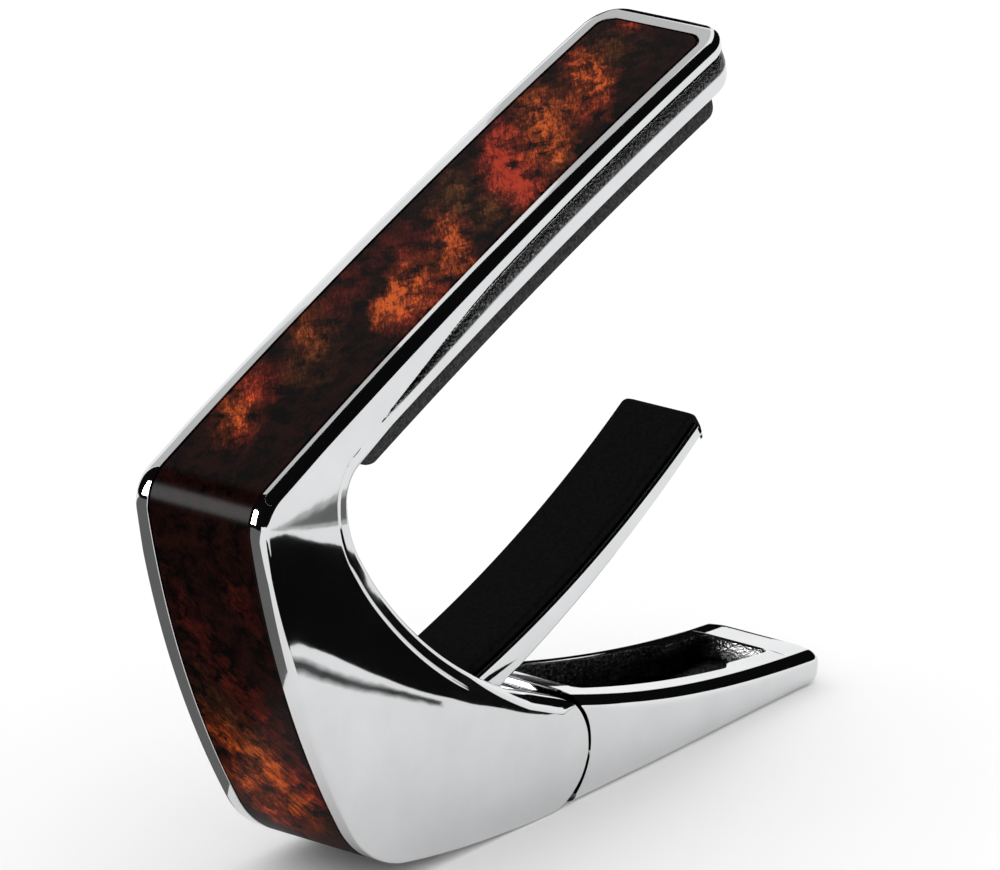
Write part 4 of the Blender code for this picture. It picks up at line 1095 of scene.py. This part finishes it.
def moulded(name, dark, light, roughness, translucent=0.0):
    """Moulded plastic with a fine satin skin."""
    material, tree, shader = new_material(name)
    where = object_space(tree)
    grain = noise(tree, where, 1800.0, 2.0)
    cloud = noise(tree, where, 200.0, 3.0)
    feed(tree, shader, {"Base Color": mix(tree, cloud, dark, light),
                        "Roughness": maths(tree, "MULTIPLY_ADD", grain, 0.14, roughness - 0.07),
                        "Normal": bump(tree, grain, 0.2, 0.00003), "Subsurface Weight": translucent,
                        "Subsurface Radius": (0.0006, 0.0006, 0.0005)})
    return material


def dress_cad_nodes():
    """Better finishes on the CAD nodes whose shape is right as it is."""
    steel = brushed("ground_steel", (0.42, 0.43, 0.44), (0.62, 0.63, 0.64), 0.3)
    nylon = moulded("natural_nylon", (0.70, 0.69, 0.63), (0.82, 0.81, 0.76), 0.45, 0.2)
    film = moulded("adhesive_film", (0.50, 0.47, 0.38), (0.62, 0.60, 0.52), 0.5)
    plastic = moulded("black_moulding", (0.012, 0.012, 0.013), (0.03, 0.03, 0.032), 0.42)
    looks = {"steel": steel, "nylon": nylon, "adhesive": film, "plastic": plastic}
    for part in frame["record"]["subparts"]:
        item = frame["nodes"][part["node"]]
        look = looks.get(part["material_slot"])
        if look is None or item.hide_render:
            continue
        item.data.materials.clear()
        item.data.materials.append(look)


# ---------------------------------------------------------------- studio

ROOM_GLOW = 1.12
BLACK = 0.004  # glow of a black card
DOME_HEIGHT = 0.03  # of the middle of the cards that are parts of a sphere
SIDE_CARD_Y = 30.0
FLOOR_CARD_Z = 0.3
FLOOR_HALF, FLOOR_SINK = 3.0, 0.00002
CAMERA_AZIMUTH, CAMERA_ELEVATION = math.radians(-51.933), math.radians(18.858)
CAMERA_DISTANCE, CAMERA_LENS, CAMERA_SENSOR = 0.650, 266.8, 36.0
CAMERA_TARGET = (30.077, 33.428)


def glow_material(name, level):
    material = bpy.data.materials.new(name)
    material.use_nodes = True
    tree = material.node_tree
    tree.nodes.clear()
    light = node(tree, "ShaderNodeEmission", {"Color": (1.0, 1.0, 1.0, 1.0), "Strength": level})
    node(tree, "ShaderNodeOutputMaterial", {"Surface": light.outputs[0]})
    return material


def card(name, points, faces, level):
    """A studio card that only shows in reflections."""
    mesh = bpy.data.meshes.new(name)
    mesh.from_pydata(points, [], faces)
    mesh.materials.append(glow_material(name, level))
    item = add_object(name, mesh)
    for ray in ("camera", "diffuse", "shadow", "transmission", "volume_scatter"):
        setattr(item, f"visible_{ray}", False)


def dome_patch(name, azimuths, elevations, radius, level):
    """Part of a sphere round the capo. Azimuth 0 is +X and 90 is +Y."""
    steps = 12
    points, faces = [], []
    for i in range(steps + 1):
        a = math.radians(azimuths[0] + (azimuths[1] - azimuths[0]) * i / steps)
        for j in range(steps + 1):
            e = math.radians(elevations[0] + (elevations[1] - elevations[0]) * j / steps)
            points.append((radius * math.cos(a) * math.cos(e), radius * math.sin(a) * math.cos(e),
                           DOME_HEIGHT + radius * math.sin(e)))
    for i in range(steps):
        for j in range(steps):
            k = i * (steps + 1) + j
            faces.append((k, k + 1, k + steps + 2, k + steps + 1))
    card(name, points, faces, level)


def side_card(name, y, outline, level):
    """An upright card along the capo's length, from x and z in millimetres in the frame."""
    points = [(x * MM, y * MM, z * MM) for x, z in outline]
    card(name, points, [tuple(range(len(points)))], level)


def floor_card(name, outline, level):
    """A sheet on the floor that only the chrome sees, from x and y in millimetres in the frame."""
    points = [(x * MM, y * MM, FLOOR_CARD_Z * MM) for x, y in outline]
    card(name, points, [tuple(range(len(points)))], level)


def make_studio():
    """A white room with a plain pale floor."""
    scene = bpy.context.scene
    scene.view_settings.view_transform = "Standard"
    world = bpy.data.worlds.new("studio")
    world.use_nodes = True
    scene.world = world
    feed(world.node_tree, world.node_tree.nodes["Background"],
         {"Color": (1.0, 1.0, 1.0, 1.0), "Strength": ROOM_GLOW})
    corners = [(FLOOR_HALF * x, FLOOR_HALF * y, 0.0) for x, y in ((-1, -1), (1, -1), (1, 1), (-1, 1))]
    mesh = bpy.data.meshes.new("floor")
    mesh.from_pydata(corners, [], [(0, 1, 2, 3)])
    floor = add_object("floor", mesh)
    floor.location.z = -FLOOR_SINK
    material, tree, shader = new_material("pale_floor")
    where = object_space(tree)
    feed(tree, shader, {"Base Color": mix(tree, noise(tree, where, 8.0, 2.0), 0.93, 0.95),
                        "Roughness": 0.9, "Specular IOR Level": 0.0})
    mesh.materials.append(material)


def make_cards():
    """What the chrome reflects: black and grey cards in the white room, named after what they do."""
    for name, azimuths, elevations, radius, level in (
            ("dark_front", (-150, 22), (4, 89.9), 0.5, BLACK),
            ("dark_top", (22, 210), (60, 89.9), 0.5, BLACK),
            ("dark_back", (178, 210), (7, 60), 0.5, BLACK),
            ("lever_far", (33.2, 50), (-3, 36), 0.5, BLACK),
            ("dark_left", (94, 178), (-3.4, 60), 0.5, BLACK),
            ("corner_light", (134, 150), (4, 32), 0.45, 16.0),
            ("rim_grey", (44, 92), (30, 60), 0.48, 0.66),
            ("rim_light", (58, 70), (30, 60), 0.46, 1.0)):
        dome_patch(name, azimuths, elevations, radius, level)
    side_card("housing_dark", -SIDE_CARD_Y, [
        (-60, 14.5), (-9.3, 13.2), (-1.8, 9.9), (6.3, 5.4), (15.9, 1.0), (18, 0.3), (21.6, 0.3),
        (21.6, 1.6), (15.5, 6), (10, 10), (6.3, 13.2), (2.3, 16.7), (-3, 20.6), (-10.6, 23.9),
        (-60, 24)], BLACK)
    # the soft dark line under the housing's dark area: three strips inside one another
    line = [(-14, 13.0, 0.9), (-8.4, 10.7, 0.9), (-4.5, 8.6, 0.75), (-0.5, 6.6, 0.62), (6, 3.7, 0.5),
            (11.7, 1.2, 0.42)]
    for name, spread, level in (("soft", 1.0, 0.62), ("dim", 0.72, 0.30), ("dark", 0.42, 0.03)):
        low = [(x, z - wide * spread) for x, z, wide in line]
        high = [(x, z + wide * spread) for x, z, wide in line]
        side_card(f"line_{name}", -SIDE_CARD_Y - spread / 10, low + high[::-1], level)
    side_card("grey_soft", -SIDE_CARD_Y,
              [(-12.5, 24.6), (-4, 22.8), (4.5, 21.4), (7, 25.2), (-3, 25.8)], 0.5)
    side_card("grey_dim", -SIDE_CARD_Y + 0.1,
              [(-10.5, 24.5), (-4, 23.3), (4.5, 22.0), (6.5, 24.5), (-3, 25.2)], 0.16)
    floor_card("housing_floor", [(18.5, -32), (18.8, -25.6), (19.7, -24), (25, -24), (26, -32)], BLACK)
    side_card("lever_dark", SIDE_CARD_Y, [(15, 0.3), (90, 0.3), (86, 14), (73, 11.5), (68, 8.5),
                                          (54, 4.5), (39, 4.5), (15, 4.5)], BLACK)
    floor_card("lever_floor", [(5, 8), (40, 8), (62, 30), (10, 30)], BLACK)
    floor_card("floor_grey", [(-520, 12), (-18, 12), (-18, 110), (-300, 480), (-520, 300)], 0.15)


def make_camera():
    """A long lens at the photograph's viewing angle."""
    target = Vector(((CAMERA_TARGET[0] - ORIGIN_X) * MM, 0.0, CAMERA_TARGET[1] * MM))
    forward = Vector((-math.sin(CAMERA_AZIMUTH) * math.cos(CAMERA_ELEVATION),
                      math.cos(CAMERA_AZIMUTH) * math.cos(CAMERA_ELEVATION),
                      -math.sin(CAMERA_ELEVATION)))
    data = bpy.data.cameras.new("camera")
    data.sensor_width, data.lens = CAMERA_SENSOR, CAMERA_LENS
    data.clip_start, data.clip_end = 0.01, 20.0
    camera = add_object("camera", data)
    camera.location = target - forward * CAMERA_DISTANCE
    camera.rotation_mode = "QUATERNION"
    camera.rotation_quaternion = forward.to_track_quat("-Z", "Y")
    bpy.context.scene.camera = camera


make_camera()
make_studio()
make_cards()
make_body()
make_inlay()
make_fret_pad()
make_swing_arm()
make_neck_pad()
make_lever()
dress_cad_nodes()
